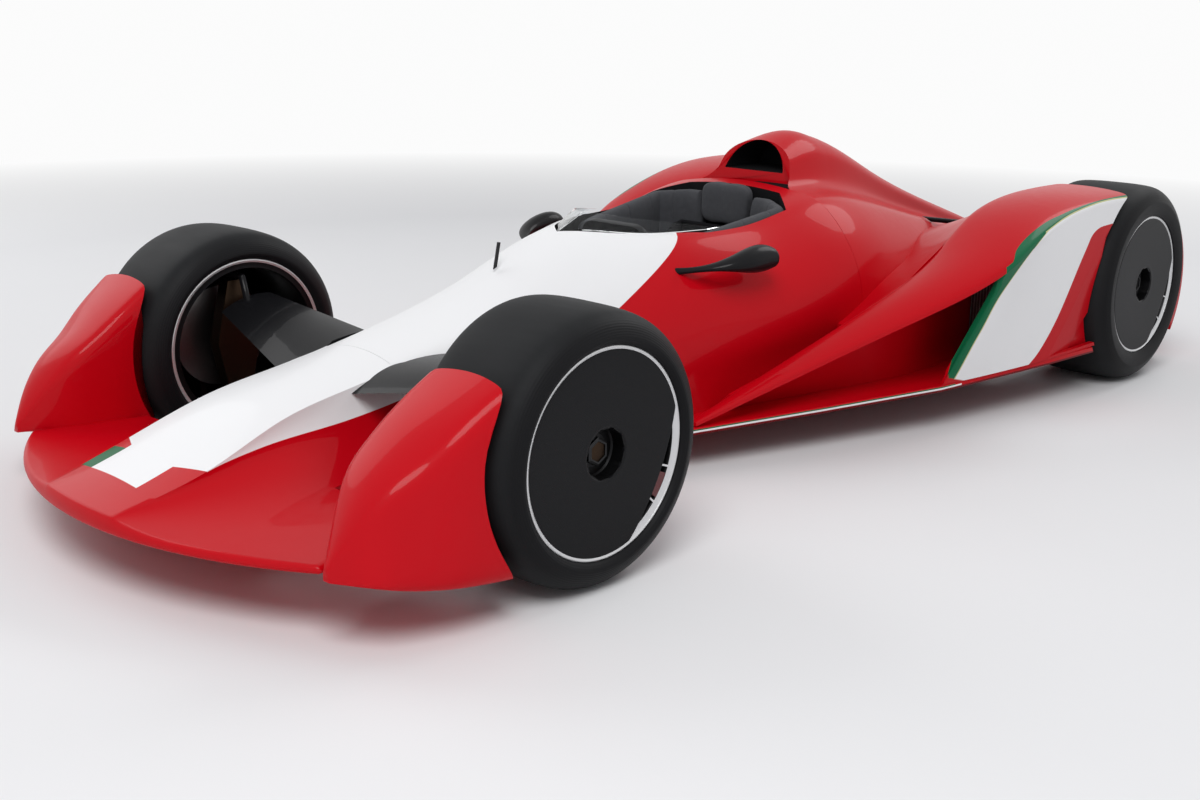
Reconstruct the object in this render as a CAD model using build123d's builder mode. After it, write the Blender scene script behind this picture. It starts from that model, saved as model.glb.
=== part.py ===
from build123d import *
import math
import os

os.makedirs("parts", exist_ok=True)

# Open wheel racing car, single seat, closed arches ahead of the rear wheels.
# Millimetres. Nose towards -Y, the car's left side towards +X, floor at Z = 0.
# Stations are distances along Y: front(s) is s behind the front axle,
# rear(s) is s behind the rear axle.

# Driving dimensions of the car
NOSE_OVERHANG = 830
WHEELBASE = 2795
TAIL_OVERHANG = 635
FRONT_TRACK = 1439
REAR_TRACK = 1445

LENGTH = NOSE_OVERHANG + WHEELBASE + TAIL_OVERHANG
FRONT_AXLE_Y = NOSE_OVERHANG - LENGTH / 2
REAR_AXLE_Y = FRONT_AXLE_Y + WHEELBASE

# Wheels: slick tyres on 18 inch rims
FRONT_TYRE_RADIUS = 325
REAR_TYRE_RADIUS = 355
FRONT_TYRE_WIDTH = 330
REAR_TYRE_WIDTH = 345
SHOULDER_REACH = 46
SHOULDER_DROP = 43
BEAD_RADIUS = 229
FLANGE_RADIUS = 246
FLANGE_FOOT = 14
FLANGE_TIP = 2.5
BARREL_WALL = 12
RIM_INSET = 13.5
COVER_RADIUS = 239
COVER_THICKNESS = 3
COVER_RECESS = 1
COVER_GAP = 1
COVER_HOLE_RADIUS = 60
CRESCENT_RADIUS = 549
CRESCENT_OFFSET = 350
CRESCENT_TURN = -27
SPOKE_COUNT = 10
SPOKE_ROOT_WIDTH = 34
SPOKE_END_WIDTH = 19
SPOKE_OVERLAP = 6
SPOKE_DEPTH = 26
HUB_RADIUS = 66
HUB_DEPTH = 70
HUB_CUP_RADIUS = 56
HUB_CUP_DEPTH = 42
AXLE_STUB = 16
BELL_CLEARANCE = 8
HUB_BORE_RADIUS = 24
AXLE_CLEARANCE = 0.05
DISC_RADIUS = 150
DISC_THICKNESS = 30
DISC_BELL = 50

# Front uprights and steering
ARCH_CLEARANCE = 25
REAR_ARCH_CLEARANCE = 28
UPRIGHT_OFFSET = 78
UPRIGHT_THICKNESS = 46

# Bodywork walls
SHELL_WALL = 14
PANEL_THICKNESS = 18
SPLITTER_THICKNESS = 20
FLOOR_THICKNESS = 22

# Gap between pieces that stand on each other, and the reach of cutting blocks
PIECE_GAP = 0.3
CUT_REACH = 1000


def front(station):
    """Y of a place that is this far behind the front axle."""
    return FRONT_AXLE_Y + station


def rear(station):
    """Y of a place that is this far behind the rear axle."""
    return REAR_AXLE_Y + station


def across(y):
    """Plane across the car at Y, its own x and y along X and Z."""
    return Plane(origin=(0, y, 0), x_dir=(1, 0, 0), z_dir=(0, -1, 0))


def side(x):
    """Plane along the car at X, its own x and y along Y and Z."""
    return Plane(origin=(x, 0, 0), x_dir=(0, 1, 0), z_dir=(1, 0, 0))


def finish(solid, name):
    """Labels a finished piece and writes it."""
    solid.label = name
    export_step(solid, "parts/" + name + ".step")


def mirrored(solid):
    """The same piece on the other side of the car."""
    return mirror(solid, about=Plane.YZ, mode=Mode.PRIVATE)


def finish_pair(solid, name):
    """Writes a piece of the left side and its mirror image on the right."""
    finish(solid, name + "_left")
    finish(mirrored(solid), name + "_right")


def finish_both(solid, name):
    """Writes a piece of the left side and its mirror image as one node."""
    with BuildPart() as both:
        add(solid)
        add(mirrored(solid))
    finish(both.part, name)


def floor_top(y):
    """Height of the raked floor's upper face at Y."""
    return FLOOR_HEIGHT + FLOOR_THICKNESS + FLOOR_RAKE * (y - front(0))


def hull_base(y):
    """Height of the hull's flat base at Y: on the floor, and rising to the splitter ahead."""
    joint = front(NOSE_JOINT)
    joint_z = floor_top(joint) + HULL_SEAT
    if y >= joint:
        return floor_top(y) + HULL_SEAT
    return joint_z + (SPLITTER_Z - joint_z) * (joint - y) / (joint - front(-NOSE_OVERHANG))


def hull_section(y, crest_x, crest_z, crown_z, waist_x, waist_z, foot_x, foot_z, inset=0):
    """Closed section of the hull: crowned top, curved flanks, straight feet, flat base."""
    crest_x, waist_x, foot_x = crest_x - inset, waist_x - inset, foot_x - inset
    crest_z, crown_z, waist_z = crest_z - inset, crown_z - inset, waist_z - inset / 2
    base_z = hull_base(y)
    with BuildSketch(across(y)) as section:
        with BuildLine():
            Line((-foot_x, base_z), (foot_x, base_z))
            Line((foot_x, base_z), (foot_x, foot_z))
            ThreePointArc((foot_x, foot_z), (waist_x, waist_z), (crest_x, crest_z))
            ThreePointArc((crest_x, crest_z), (0, crown_z), (-crest_x, crest_z))
            ThreePointArc((-crest_x, crest_z), (-waist_x, waist_z), (-foot_x, foot_z))
            Line((-foot_x, foot_z), (-foot_x, base_z))
        make_face()
    return section.sketch.face()


def slab_section(plane, low_inner, high_inner, high_outer, low_outer, crown):
    """Four sided section with a crowned top edge, from four corner points."""
    middle = (
        (high_inner[0] + high_outer[0]) / 2,
        (high_inner[1] + high_outer[1]) / 2 + crown,
    )
    with BuildSketch(plane) as section:
        with BuildLine():
            Line(low_outer, low_inner)
            Line(low_inner, high_inner)
            ThreePointArc(high_inner, middle, high_outer)
            Line(high_outer, low_outer)
        make_face()
    return section.sketch.face()


def blade_section(x, nose, tail, depth):
    """Lens shaped section of a fairing, from its leading point to its trailing point."""
    middle_y = (nose[0] + tail[0]) / 2
    middle_z = (nose[1] + tail[1]) / 2
    with BuildSketch(side(x)) as section:
        with BuildLine():
            ThreePointArc(nose, (middle_y, middle_z + depth / 2), tail)
            ThreePointArc(tail, (middle_y, middle_z - depth / 2), nose)
        make_face()
    return section.sketch.face()


# Floor: one raked plate from the front axle to the tail
FLOOR_HEIGHT = 90
FLOOR_RAKE = 0.0257
FLOOR_FRONT_HALF = 236
HULL_SEAT = 0.3
# Columns: station behind the rear axle, half width of the floor's edge
FLOOR_EDGE = [
    (-2260, 262),
    (-2010, 460),
    (-1585, 600),
    (-1130, 740),
    (-595, 830),
    (-300, 868),
]
FLOOR_TAIL_HALF = 520
FLOOR_TAIL_STATION = -270

# Nose cone: flat crowned top with concave cheeks that flow onto the splitter.
# Columns: station behind the front axle, crest x, crest z, crown z, waist x, waist z,
# foot x, foot z
NOSE = [
    (-NOSE_OVERHANG, 150, 186, 190, 200, 180, 300, 172),
    (-580, 178, 254, 270, 228, 206, 380, 180),
    (-379, 163, 325, 344, 200, 240, 320, 182),
    (-157, 155, 368, 390, 190, 262, 255, 176),
    (-30, 156, 393, 418, 202, 275, 235, 170),
]
NOSE_JOINT = -30
# Tub ahead of the cockpit, the same columns
TUB_FRONT = [
    (NOSE_JOINT, 156, 393, 418, 202, 275, 235, 170),
    (300, 165, 465, 497, 258, 330, 272, 190),
]
# Tub along the cockpit, station behind the rear axle, crest at the opening's rim
TUB_REAR = [
    (-2155, 205, 552, 640, 322, 400, 330, 210),
    (-1845, 252, 634, 672, 382, 455, 378, 235),
    (-1545, 284, 648, 690, 436, 470, 430, 255),
    (-1235, 312, 704, 740, 470, 510, 486, 280),
]
BULKHEAD = -1235
# Engine cover's shoulders, station behind the rear axle
SHOULDERS = [
    (BULKHEAD, 312, 704, 740, 470, 510, 486, 280),
    (-895, 272, 668, 715, 440, 495, 492, 290),
    (-545, 240, 588, 630, 375, 455, 440, 290),
    (-200, 205, 512, 545, 275, 400, 320, 280),
    (430, 140, 392, 412, 172, 345, 185, 270),
]

# Splitter: the plate that the nose cone stands on
SPLITTER_Z = 150
SPLITTER_HALF = 655
SPLITTER_END_STATION = -618
SPLITTER_REAR_STATION = -330
SPLITTER_REAR_HALF = 585

# Front deflector pods ahead of the front wheels.
# Columns: station behind the front axle, inner x, inner z, crest rise, outer x, outer z,
# outer bottom x, bottom z
DEFLECTOR = [
    (-640, 694, 178, 3, 706, 182, 716, 158),
    (-610, 672, 225, 10, 730, 238, 778, 158),
    (-530, 616, 338, 20, 776, 333, 832, 139),
    (-461, 596, 397, 20, 805, 381, 853, 125),
    (-404, 591, 440, 18, 830, 431, 864, 116),
    (-291, 599, 520, 10, 864, 519, 872, 102),
    (-230, 606, 560, 8, 890, 560, 876, 96),
]

# Arch deck: from the floor's front corner up and back over the rear wheel.
# Columns: station behind the rear axle, inner x, inner z, outer x, outer z, crown, thickness
ARCH = [
    (-1995, 436, 146, 462, 146, 2, 10),
    (-1700, 505, 268, 582, 264, 8, 18),
    (-1345, 585, 412, 728, 398, 12, 22),
    (-1009, 596, 532, 862, 538, 20, 24),
    (-795, 580, 632, 868, 622, 16, 24),
    (-495, 572, 694, 870, 686, 12, 24),
    (-160, 570, 702, 870, 692, 8, 24),
]
# Inner wall under the deck, standing on the floor.
# Columns: station, foot x, top x, top z, all of its outer face
ARCH_WALL = [
    (-1840, 400, 466, 204),
    (-1635, 452, 532, 288),
    (-1428, 508, 580, 376),
    (-1104, 586, 604, 484),
    (-795, 592, 596, 616),
    (-160, 590, 590, 686),
]
ARCH_WALL_THICKNESS = 16
# Shelf that closes the valley between the engine cover's flank and the deck.
# Columns: station, inner x, inner z, outer x, outer z
ARCH_SHELF = [
    (-1345, 480, 385, 600, 408),
    (-1150, 440, 436, 604, 476),
    (-895, 410, 486, 598, 586),
    (-695, 330, 528, 590, 652),
    (-520, 300, 545, 588, 684),
]
SHELF_THICKNESS = 14
SHELF_SAG = 10
FLAT_CROWN = 0.5
# Striped side panel under the deck, columns: station, foot x, top x, top z
SIDE_PANEL = [
    (-1160, 732, 800, 440),
    (-1009, 764, 861, 512),
    (-795, 803, 867, 596),
    (-495, 843, 869, 660),
    (-160, 868, 869, 667),
]
PANEL_EDGE_FOOT = (-1130, 140)
PANEL_EDGE_TOP = (-1000, 560)

# Cockpit opening: two arcs that meet in front, bowed by this share, then its straight sides
OPENING_CENTRE_STATION = -1720
OPENING_HALF = 254
OPENING_REACH = 385
OPENING_BOW = 0.59
OPENING_REAR_HALF = 285
OPENING_REAR_STATION = -1375
OPENING_BACK_HALF = 190
OPENING_BACK_STATION = -1285
TUB_FLOOR_WALL = 24
FOOTWELL = [(-2600, 105, 190, 370), (-1900, 190, 180, 560)]
PADDING_WIDTH = 52
PADDING_LOW = 520
PADDING_FRONT = (-1790, 612)
PADDING_BACK = (-1290, 692)

# Airbox and spine on the engine cover.
# Columns: station, foot x, foot z, hollow x, hollow z, neck x, neck z, top z
SPINE = [
    (-1235, 262, 660, 176, 708, 146, 775, 868),
    (-1045, 268, 672, 172, 706, 138, 775, 893),
    (-895, 255, 655, 162, 690, 128, 765, 870),
    (-495, 215, 560, 125, 598, 92, 650, 723),
    (0, 160, 452, 88, 482, 60, 512, 548),
    (430, 112, 380, 58, 394, 38, 404, 414),
]
SPINE_ROOT = 40
MOUTH_HALF = 122
MOUTH_LOW = 768
MOUTH_TOP = 868
MOUTH_DEPTH = 210
MOUTH_LEAN_LOW = (-1208, 700)
MOUTH_LEAN_HIGH = (-1140, 880)

# Windscreen: a raked band round the opening's front, columns: z, half width, reach ahead
SCREEN = [(600, 274.5, 495), (715, 231, 248)]
SCREEN_BOW = 0.58
SCREEN_THICKNESS = 4
SCREEN_SLANT = 1.5
SCREEN_TOP_FRONT = (-2000, 701)
SCREEN_TOP_BACK = (-1600, 642)

# Cockpit fittings
SEAT_WIDTH = 330
SEAT_WALL = 18
# Columns: station behind the rear axle, height over the tub's inner floor
SEAT_PROFILE = [
    (-1840, 48),
    (-1780, 0),
    (-1560, 0),
    (-1352, 384),
    (-1352, 424),
    (-1396, 414),
]
HEADREST_HALF = 95
HEADREST_LOW = 600
HEADREST_TOP = 735
HEADREST_DEPTH = 62
HEADREST_GAP = 1
HEADREST_ROUND = 30
DASH_STATION = -1990
DASH_THICKNESS = 30
DASH_LOW = 430
DASH_TOP = 612
COLUMN_RADIUS = 22
COLUMN_LENGTH = 95
COLUMN_Z = 540
COLUMN_TILT = 14
COLUMN_PIN_RADIUS = 8
COLUMN_PIN_LENGTH = 40
WHEEL_GRIP_WIDTH = 270
WHEEL_GRIP_HEIGHT = 170
WHEEL_GRIP_THICKNESS = 24
STEERING_BOSS_RADIUS = 34
STEERING_BOSS_LENGTH = 30

# Mirrors: arm and pod as ovals, columns: x, station behind the front axle, z, width, height
MIRROR_POD = [
    (215, 740, 535, 46, 10),
    (345, 896, 560, 40, 16),
    (428, 978, 579, 62, 44),
    (440, 1045, 585, 74, 74),
    (448, 1132, 585, 66, 62),
]
MIRROR_GLASS_THICKNESS = 3
MIRROR_GLASS_INSET = 4

# Speed probe on the hood
PROBE_STATION = 433
PROBE_ROOT = 500
PROBE_TOP = 644
PROBE_LEAN = 29
PROBE_WIDTH = 5
PROBE_CHORD = 12
PROBE_ROUND = 2.2

# Radiators in the side ducts
RADIATOR_STATION = -700
RADIATOR_DEPTH = 60
RADIATOR_X = (598, 780)
RADIATOR_TOP = 588

# Fairings behind the rear wheels
FAIRING_X = (590, 822)
FAIRING_TOP = (310, 605)
FAIRING_BULGE = (490, 395)
FAIRING_FOOT = (440, 110)

# Front suspension: leading point, trailing point and depth of the covers, at root and tip;
# the tip and the links' knees lie inside half the track
COVER_BLADES = [
    ((-178, 345), (135, 402), 46),
    ((-76, 426), (88, 462), 30),
]
COVER_ROOT_X = 120
COVER_TIP_INSET = 134.5
KINGPIN_OFFSET = 10
KINGPIN_RADIUS = 9
EYE_RADIUS = 20
EYE_HEIGHT = 22
UPPER_EYE_Z = 494
LOWER_EYE_Z = 156
LINK_RADIUS = 10
LINK_BOSS_RADIUS = 15
LINK_BOSS_HEIGHT = 24
LINK_KNEE_INSET = 129.5
ARM_RADIUS = 11
LOWER_ARM_ROOTS = [(-150, 180, 215), (150, 200, 205)]
UPRIGHT_HALF = 70
UPRIGHT_NECK = 30
CALIPER_REACH = (96, 172)
CALIPER_HALF_HEIGHT = 62
CALIPER_GAP = 6
CALIPER_WALL = 22

# Rear suspension and drive
REAR_UPRIGHT_X = 600.5
REAR_UPRIGHT_THICKNESS = 40
REAR_UPRIGHT_HALF = 78
REAR_UPRIGHT_Z = (178, 532)
REAR_HUB_RADIUS = 40
DRIVESHAFT_RADIUS = 17
JOINT_RADIUS = 44
JOINT_LENGTH = 60
SHAFT_HOLE_RADIUS = 62
# Columns: station, x, z of the root, then z of the joint on the upright
REAR_ARM_LEGS = [
    (-465, 190, 563, 508),
    (190, 150, 440, 508),
    (-330, 290, 235, 205),
    (250, 170, 262, 205),
]
REAR_ARM_RADIUS = 9

# Engine, gearbox
ENGINE_STATIONS = (-1180, -300)
ENGINE_HALF = 160
ENGINE_TOP = 490
GEARBOX_STATIONS = (-260, 380)
GEARBOX_HALF = 110
GEARBOX_TOP = 365
FLANGE_REACH = 40

# Rear end
DIFFUSER_STATION = 300
DIFFUSER_REAR_Z = 250
DIFFUSER_THICKNESS = 12
DIFFUSER_STRAKES = (-430, -215, 215, 430)
STRAKE_THICKNESS = 8
TAIL_SHAPE = (100, 350, 362, 112, 325, 116, 300)

with BuildPart() as deflector:
    loft(
        [
            slab_section(
                across(front(station)),
                (inner_x, bottom_z),
                (inner_x, inner_z),
                (outer_x, outer_z),
                (foot_x, bottom_z),
                rise,
            )
            for station, inner_x, inner_z, rise, outer_x, outer_z, foot_x, bottom_z in DEFLECTOR
        ]
    )
    with Locations((FRONT_TRACK / 2, front(0), FRONT_TYRE_RADIUS)):
        Cylinder(
            FRONT_TYRE_RADIUS + ARCH_CLEARANCE,
            2 * FRONT_TYRE_WIDTH,
            rotation=(0, 90, 0),
            mode=Mode.SUBTRACT,
        )
finish_both(deflector.part, "front_deflectors")

with BuildPart() as splitter:
    with BuildSketch(Plane.XY.offset(SPLITTER_Z)):
        with BuildLine():
            ThreePointArc(
                (-SPLITTER_HALF, front(SPLITTER_END_STATION)),
                (0, front(-NOSE_OVERHANG)),
                (SPLITTER_HALF, front(SPLITTER_END_STATION)),
            )
            Polyline(
                (SPLITTER_HALF, front(SPLITTER_END_STATION)),
                (SPLITTER_REAR_HALF, front(SPLITTER_REAR_STATION)),
                (-SPLITTER_REAR_HALF, front(SPLITTER_REAR_STATION)),
                (-SPLITTER_HALF, front(SPLITTER_END_STATION)),
            )
        make_face()
    extrude(amount=SPLITTER_THICKNESS)

with BuildPart() as nose_cone:
    loft([hull_section(front(station), *shape) for station, *shape in NOSE])
    with BuildSketch(Plane.XY):
        with BuildLine():
            ThreePointArc(
                (-SPLITTER_HALF, front(SPLITTER_END_STATION)),
                (0, front(-NOSE_OVERHANG)),
                (SPLITTER_HALF, front(SPLITTER_END_STATION)),
            )
            Polyline(
                (SPLITTER_HALF, front(SPLITTER_END_STATION)),
                (SPLITTER_HALF, front(0)),
                (-SPLITTER_HALF, front(0)),
                (-SPLITTER_HALF, front(SPLITTER_END_STATION)),
            )
        make_face()
    extrude(amount=FRONT_TYRE_RADIUS * 2, mode=Mode.INTERSECT)
    add(splitter.part)
    add(deflector.part, mode=Mode.SUBTRACT)
    add(mirror(deflector.part, about=Plane.YZ, mode=Mode.PRIVATE), mode=Mode.SUBTRACT)
finish(nose_cone.part, "nose_cone")


def prism(points, plane, amount):
    """Straight piece with this outline, from the plane along its normal."""
    with BuildPart() as piece:
        with BuildSketch(plane):
            with BuildLine():
                Polyline(*points, points[0])
            make_face()
        extrude(amount=amount)
    return piece.part


def rod(start, end, radius):
    """Round rod between two points."""
    way = Vector(*end) - Vector(*start)
    with BuildPart() as piece:
        with BuildSketch(Plane(origin=start, z_dir=way)):
            Circle(radius)
        extrude(amount=way.length)
    return piece.part


def axle_cylinder(centre, radius, width):
    """Cylinder along X about a centre."""
    with BuildPart() as piece:
        with Locations(centre):
            Cylinder(radius, width, rotation=(0, 90, 0))
    return piece.part


def slanted_cut(low, high, reach, ahead):
    """Block ahead of (or behind) a leaning line through two (y, z) points."""
    lean = (high[0] - low[0]) / (high[1] - low[1])
    foot = (low[0] + lean * (0 - low[1]), 0)
    head = (low[0] + lean * (reach - low[1]), reach)
    shift = -reach * 4 if ahead else reach * 4
    points = [foot, head, (head[0] + shift, reach), (foot[0] + shift, 0)]
    return prism(points, side(-reach), 2 * reach)


# Arch and fender: deck, inner wall and the closing wall ahead of the rear tyre
REAR_WHEEL_CENTRE = (REAR_TRACK / 2, rear(0), REAR_TYRE_RADIUS)
REAR_ARCH_RADIUS = REAR_TYRE_RADIUS + REAR_ARCH_CLEARANCE
rear_arch = axle_cylinder(REAR_WHEEL_CENTRE, REAR_ARCH_RADIUS, 2 * REAR_TYRE_WIDTH)

# Room for the floor plate, up to the gap over it
floor_low_y = front(-NOSE_OVERHANG)
floor_high_y = rear(TAIL_OVERHANG)
floor_room = prism(
    [
        (floor_low_y, 0),
        (floor_high_y, 0),
        (floor_high_y, floor_top(floor_high_y) + PIECE_GAP),
        (floor_low_y, floor_top(floor_low_y) + PIECE_GAP),
    ],
    side(-CUT_REACH),
    2 * CUT_REACH,
)

# The hull's two lengths, still solid
with BuildPart() as tub_body:
    loft(
        [hull_section(front(station), *shape) for station, *shape in TUB_FRONT]
        + [hull_section(rear(station), *shape) for station, *shape in TUB_REAR]
    )

with BuildPart() as cover_body:
    loft([hull_section(rear(station), *shape) for station, *shape in SHOULDERS])

with BuildPart() as arch:
    loft(
        [
            slab_section(
                across(rear(station)),
                (inner_x, inner_z - thickness),
                (inner_x, inner_z),
                (outer_x, outer_z),
                (outer_x, outer_z - thickness),
                crown,
            )
            for station, inner_x, inner_z, outer_x, outer_z, crown, thickness in ARCH
        ]
    )
    loft(
        [
            slab_section(
                across(rear(station)),
                (foot_x - ARCH_WALL_THICKNESS, floor_top(rear(station)) + PIECE_GAP),
                (top_x - ARCH_WALL_THICKNESS, top_z),
                (top_x, top_z),
                (foot_x, floor_top(rear(station)) + PIECE_GAP),
                FLAT_CROWN,
            )
            for station, foot_x, top_x, top_z in ARCH_WALL
        ],
        ruled=True,
    )
    loft(
        [
            slab_section(
                across(rear(station)),
                (inner_x, inner_z - SHELF_THICKNESS),
                (inner_x, inner_z),
                (outer_x, outer_z),
                (outer_x, outer_z - SHELF_THICKNESS),
                -SHELF_SAG,
            )
            for station, inner_x, inner_z, outer_x, outer_z in ARCH_SHELF
        ],
        ruled=True,
    )
    add(rear_arch, mode=Mode.SUBTRACT)
    add(floor_room, mode=Mode.SUBTRACT)
    add(tub_body.part, mode=Mode.SUBTRACT)
    add(cover_body.part, mode=Mode.SUBTRACT)
finish_pair(arch.part, "arch")

with BuildPart() as side_panel:
    loft(
        [
            slab_section(
                across(rear(station)),
                (foot_x - PANEL_THICKNESS, floor_top(rear(station)) + PIECE_GAP),
                (top_x - PANEL_THICKNESS, top_z),
                (top_x, top_z),
                (foot_x, floor_top(rear(station)) + PIECE_GAP),
                FLAT_CROWN,
            )
            for station, foot_x, top_x, top_z in SIDE_PANEL
        ]
    )
    add(
        slanted_cut(
            (rear(PANEL_EDGE_FOOT[0]), PANEL_EDGE_FOOT[1]),
            (rear(PANEL_EDGE_TOP[0]), PANEL_EDGE_TOP[1]),
            CUT_REACH,
            ahead=True,
        ),
        mode=Mode.SUBTRACT,
    )
    add(rear_arch, mode=Mode.SUBTRACT)
    add(arch.part, mode=Mode.SUBTRACT)
finish_both(side_panel.part, "side_panels")

# Tub: hull stretch with the cockpit opening and the footwell


def pointed_front(half, reach, bow):
    """Two arcs from side to side that meet ahead of the opening's widest place."""
    centre_y = rear(OPENING_CENTRE_STATION)
    tip = (0, centre_y - reach)
    ThreePointArc((-half, centre_y), (-bow * half, centre_y - bow * reach), tip)
    ThreePointArc(tip, (bow * half, centre_y - bow * reach), (half, centre_y))


def cockpit_prism(inset, low, high):
    """Upright block of the cockpit opening's outline, smaller all round by inset."""
    half = OPENING_HALF - inset
    rear_half = OPENING_REAR_HALF - inset
    back_half = OPENING_BACK_HALF - inset
    centre_y = rear(OPENING_CENTRE_STATION)
    back_y = rear(OPENING_BACK_STATION) - inset
    with BuildPart() as block:
        with BuildSketch(Plane.XY.offset(low)):
            with BuildLine():
                pointed_front(half, OPENING_REACH * half / OPENING_HALF, OPENING_BOW)
                Polyline(
                    (half, centre_y),
                    (rear_half, rear(OPENING_REAR_STATION)),
                    (back_half, back_y),
                    (-back_half, back_y),
                    (-rear_half, rear(OPENING_REAR_STATION)),
                    (-half, centre_y),
                )
            make_face()
        extrude(amount=high - low)
    return block.part


TUB_FLOOR = floor_top(rear(OPENING_BACK_STATION)) + TUB_FLOOR_WALL

with BuildPart() as tub:
    add(tub_body.part)
    add(cockpit_prism(0, TUB_FLOOR, CUT_REACH), mode=Mode.SUBTRACT)
    loft(
        [
            slab_section(
                across(rear(station)), (-half, low), (-half, high), (half, high), (half, low), 20
            )
            for station, half, low, high in FOOTWELL
        ],
        mode=Mode.SUBTRACT,
    )
finish(tub.part, "tub")

padding_top = slanted_cut(
    (rear(PADDING_FRONT[0]), PADDING_FRONT[1]),
    (rear(PADDING_BACK[0]), PADDING_BACK[1]),
    CUT_REACH,
    ahead=True,
)
with BuildPart() as padding_rail:
    add(cockpit_prism(PIECE_GAP, PADDING_LOW, CUT_REACH))
    add(cockpit_prism(PADDING_WIDTH, PADDING_LOW, CUT_REACH), mode=Mode.SUBTRACT)
    padding_front_y = rear(PADDING_FRONT[0])
    with Locations((0, padding_front_y - CUT_REACH / 2, CUT_REACH / 2)):
        Box(CUT_REACH, CUT_REACH, 2 * CUT_REACH, mode=Mode.SUBTRACT)
    add(padding_top, mode=Mode.SUBTRACT)
    back_gap = rear(OPENING_REAR_STATION)
    with Locations((0, back_gap + CUT_REACH / 2, CUT_REACH / 2)):
        Box(2 * (HEADREST_HALF + HEADREST_GAP), CUT_REACH, 2 * CUT_REACH, mode=Mode.SUBTRACT)

with BuildPart() as headrest:
    headrest_y = rear(OPENING_BACK_STATION) - PIECE_GAP - HEADREST_DEPTH / 2
    headrest_z = (HEADREST_LOW + HEADREST_TOP) / 2
    with Locations((0, headrest_y, headrest_z)):
        Box(2 * HEADREST_HALF, HEADREST_DEPTH, HEADREST_TOP - HEADREST_LOW)
    fillet(headrest.edges().filter_by(Axis.Y), HEADREST_ROUND)
with BuildPart() as cockpit_padding:
    add(padding_rail.part)
    add(headrest.part)
finish(cockpit_padding.part, "cockpit_padding")

with BuildPart() as seat:
    seat_base = TUB_FLOOR + PIECE_GAP
    outline = [(rear(station), seat_base + height) for station, height in SEAT_PROFILE]
    add(prism(outline, side(-SEAT_WIDTH / 2), SEAT_WIDTH))
    inner = [(y - SEAT_WALL, z + SEAT_WALL) for y, z in outline]
    add(
        prism(inner, side(-SEAT_WIDTH / 2 + SEAT_WALL), SEAT_WIDTH - 2 * SEAT_WALL),
        mode=Mode.SUBTRACT,
    )
finish(seat.part, "seat")

with BuildPart() as dashboard:
    add(cockpit_prism(PIECE_GAP, DASH_LOW, DASH_TOP))
    with Locations((0, rear(DASH_STATION), (DASH_LOW + DASH_TOP) / 2)):
        Box(CUT_REACH, DASH_THICKNESS, CUT_REACH, mode=Mode.INTERSECT)
finish(dashboard.part, "dashboard")

# Steering column and wheel, on one tilted axis
tilt = math.radians(COLUMN_TILT)
column_way = Vector(0, math.cos(tilt), math.sin(tilt))
column_start = Vector(0, rear(DASH_STATION) + DASH_THICKNESS / 2, COLUMN_Z)
column_end = column_start + column_way * COLUMN_LENGTH
with BuildPart() as steering_column:
    add(rod(tuple(column_start - column_way * 15), tuple(column_end), COLUMN_RADIUS))
    add(dashboard.part, mode=Mode.SUBTRACT)
    with Locations((0, column_start.Y - CUT_REACH / 2, COLUMN_Z)):
        Box(CUT_REACH, CUT_REACH, CUT_REACH, mode=Mode.SUBTRACT)
    add(
        rod(
            tuple(column_end - column_way * COLUMN_PIN_LENGTH),
            tuple(column_end + column_way),
            COLUMN_PIN_RADIUS + AXLE_CLEARANCE,
        ),
        mode=Mode.SUBTRACT,
    )
finish(steering_column.part, "steering_column")

wheel_plane = Plane(
    origin=tuple(column_end + column_way * (PIECE_GAP + STEERING_BOSS_LENGTH)),
    x_dir=(1, 0, 0),
    z_dir=column_way,
)
with BuildPart() as steering_wheel:
    with BuildSketch(wheel_plane):
        RectangleRounded(WHEEL_GRIP_WIDTH, WHEEL_GRIP_HEIGHT, 55)
        with Locations((WHEEL_GRIP_WIDTH / 2 - 62, 0), (62 - WHEEL_GRIP_WIDTH / 2, 0)):
            RectangleRounded(50, 96, 22, mode=Mode.SUBTRACT)
    extrude(amount=WHEEL_GRIP_THICKNESS)
    with BuildSketch(wheel_plane):
        Circle(STEERING_BOSS_RADIUS)
    extrude(amount=-STEERING_BOSS_LENGTH)
    with BuildSketch(wheel_plane):
        Circle(COLUMN_PIN_RADIUS)
    extrude(amount=-STEERING_BOSS_LENGTH - COLUMN_PIN_LENGTH + 2)
finish(steering_wheel.part, "steering_wheel")

# Engine cover: hollow shoulders with the airbox and its spine


def spine_section(y, foot_x, foot_z, hollow_x, hollow_z, neck_x, neck_z, top_z):
    """Closed section of the spine: concave flares up to a rounded ridge."""
    with BuildSketch(across(y)) as section:
        with BuildLine():
            Line((-foot_x, foot_z - SPINE_ROOT), (foot_x, foot_z - SPINE_ROOT))
            Line((foot_x, foot_z - SPINE_ROOT), (foot_x, foot_z))
            ThreePointArc((foot_x, foot_z), (hollow_x, hollow_z), (neck_x, neck_z))
            ThreePointArc((neck_x, neck_z), (0, top_z), (-neck_x, neck_z))
            ThreePointArc((-neck_x, neck_z), (-hollow_x, hollow_z), (-foot_x, foot_z))
            Line((-foot_x, foot_z), (-foot_x, foot_z - SPINE_ROOT))
        make_face()
    return section.sketch.face()


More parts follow.
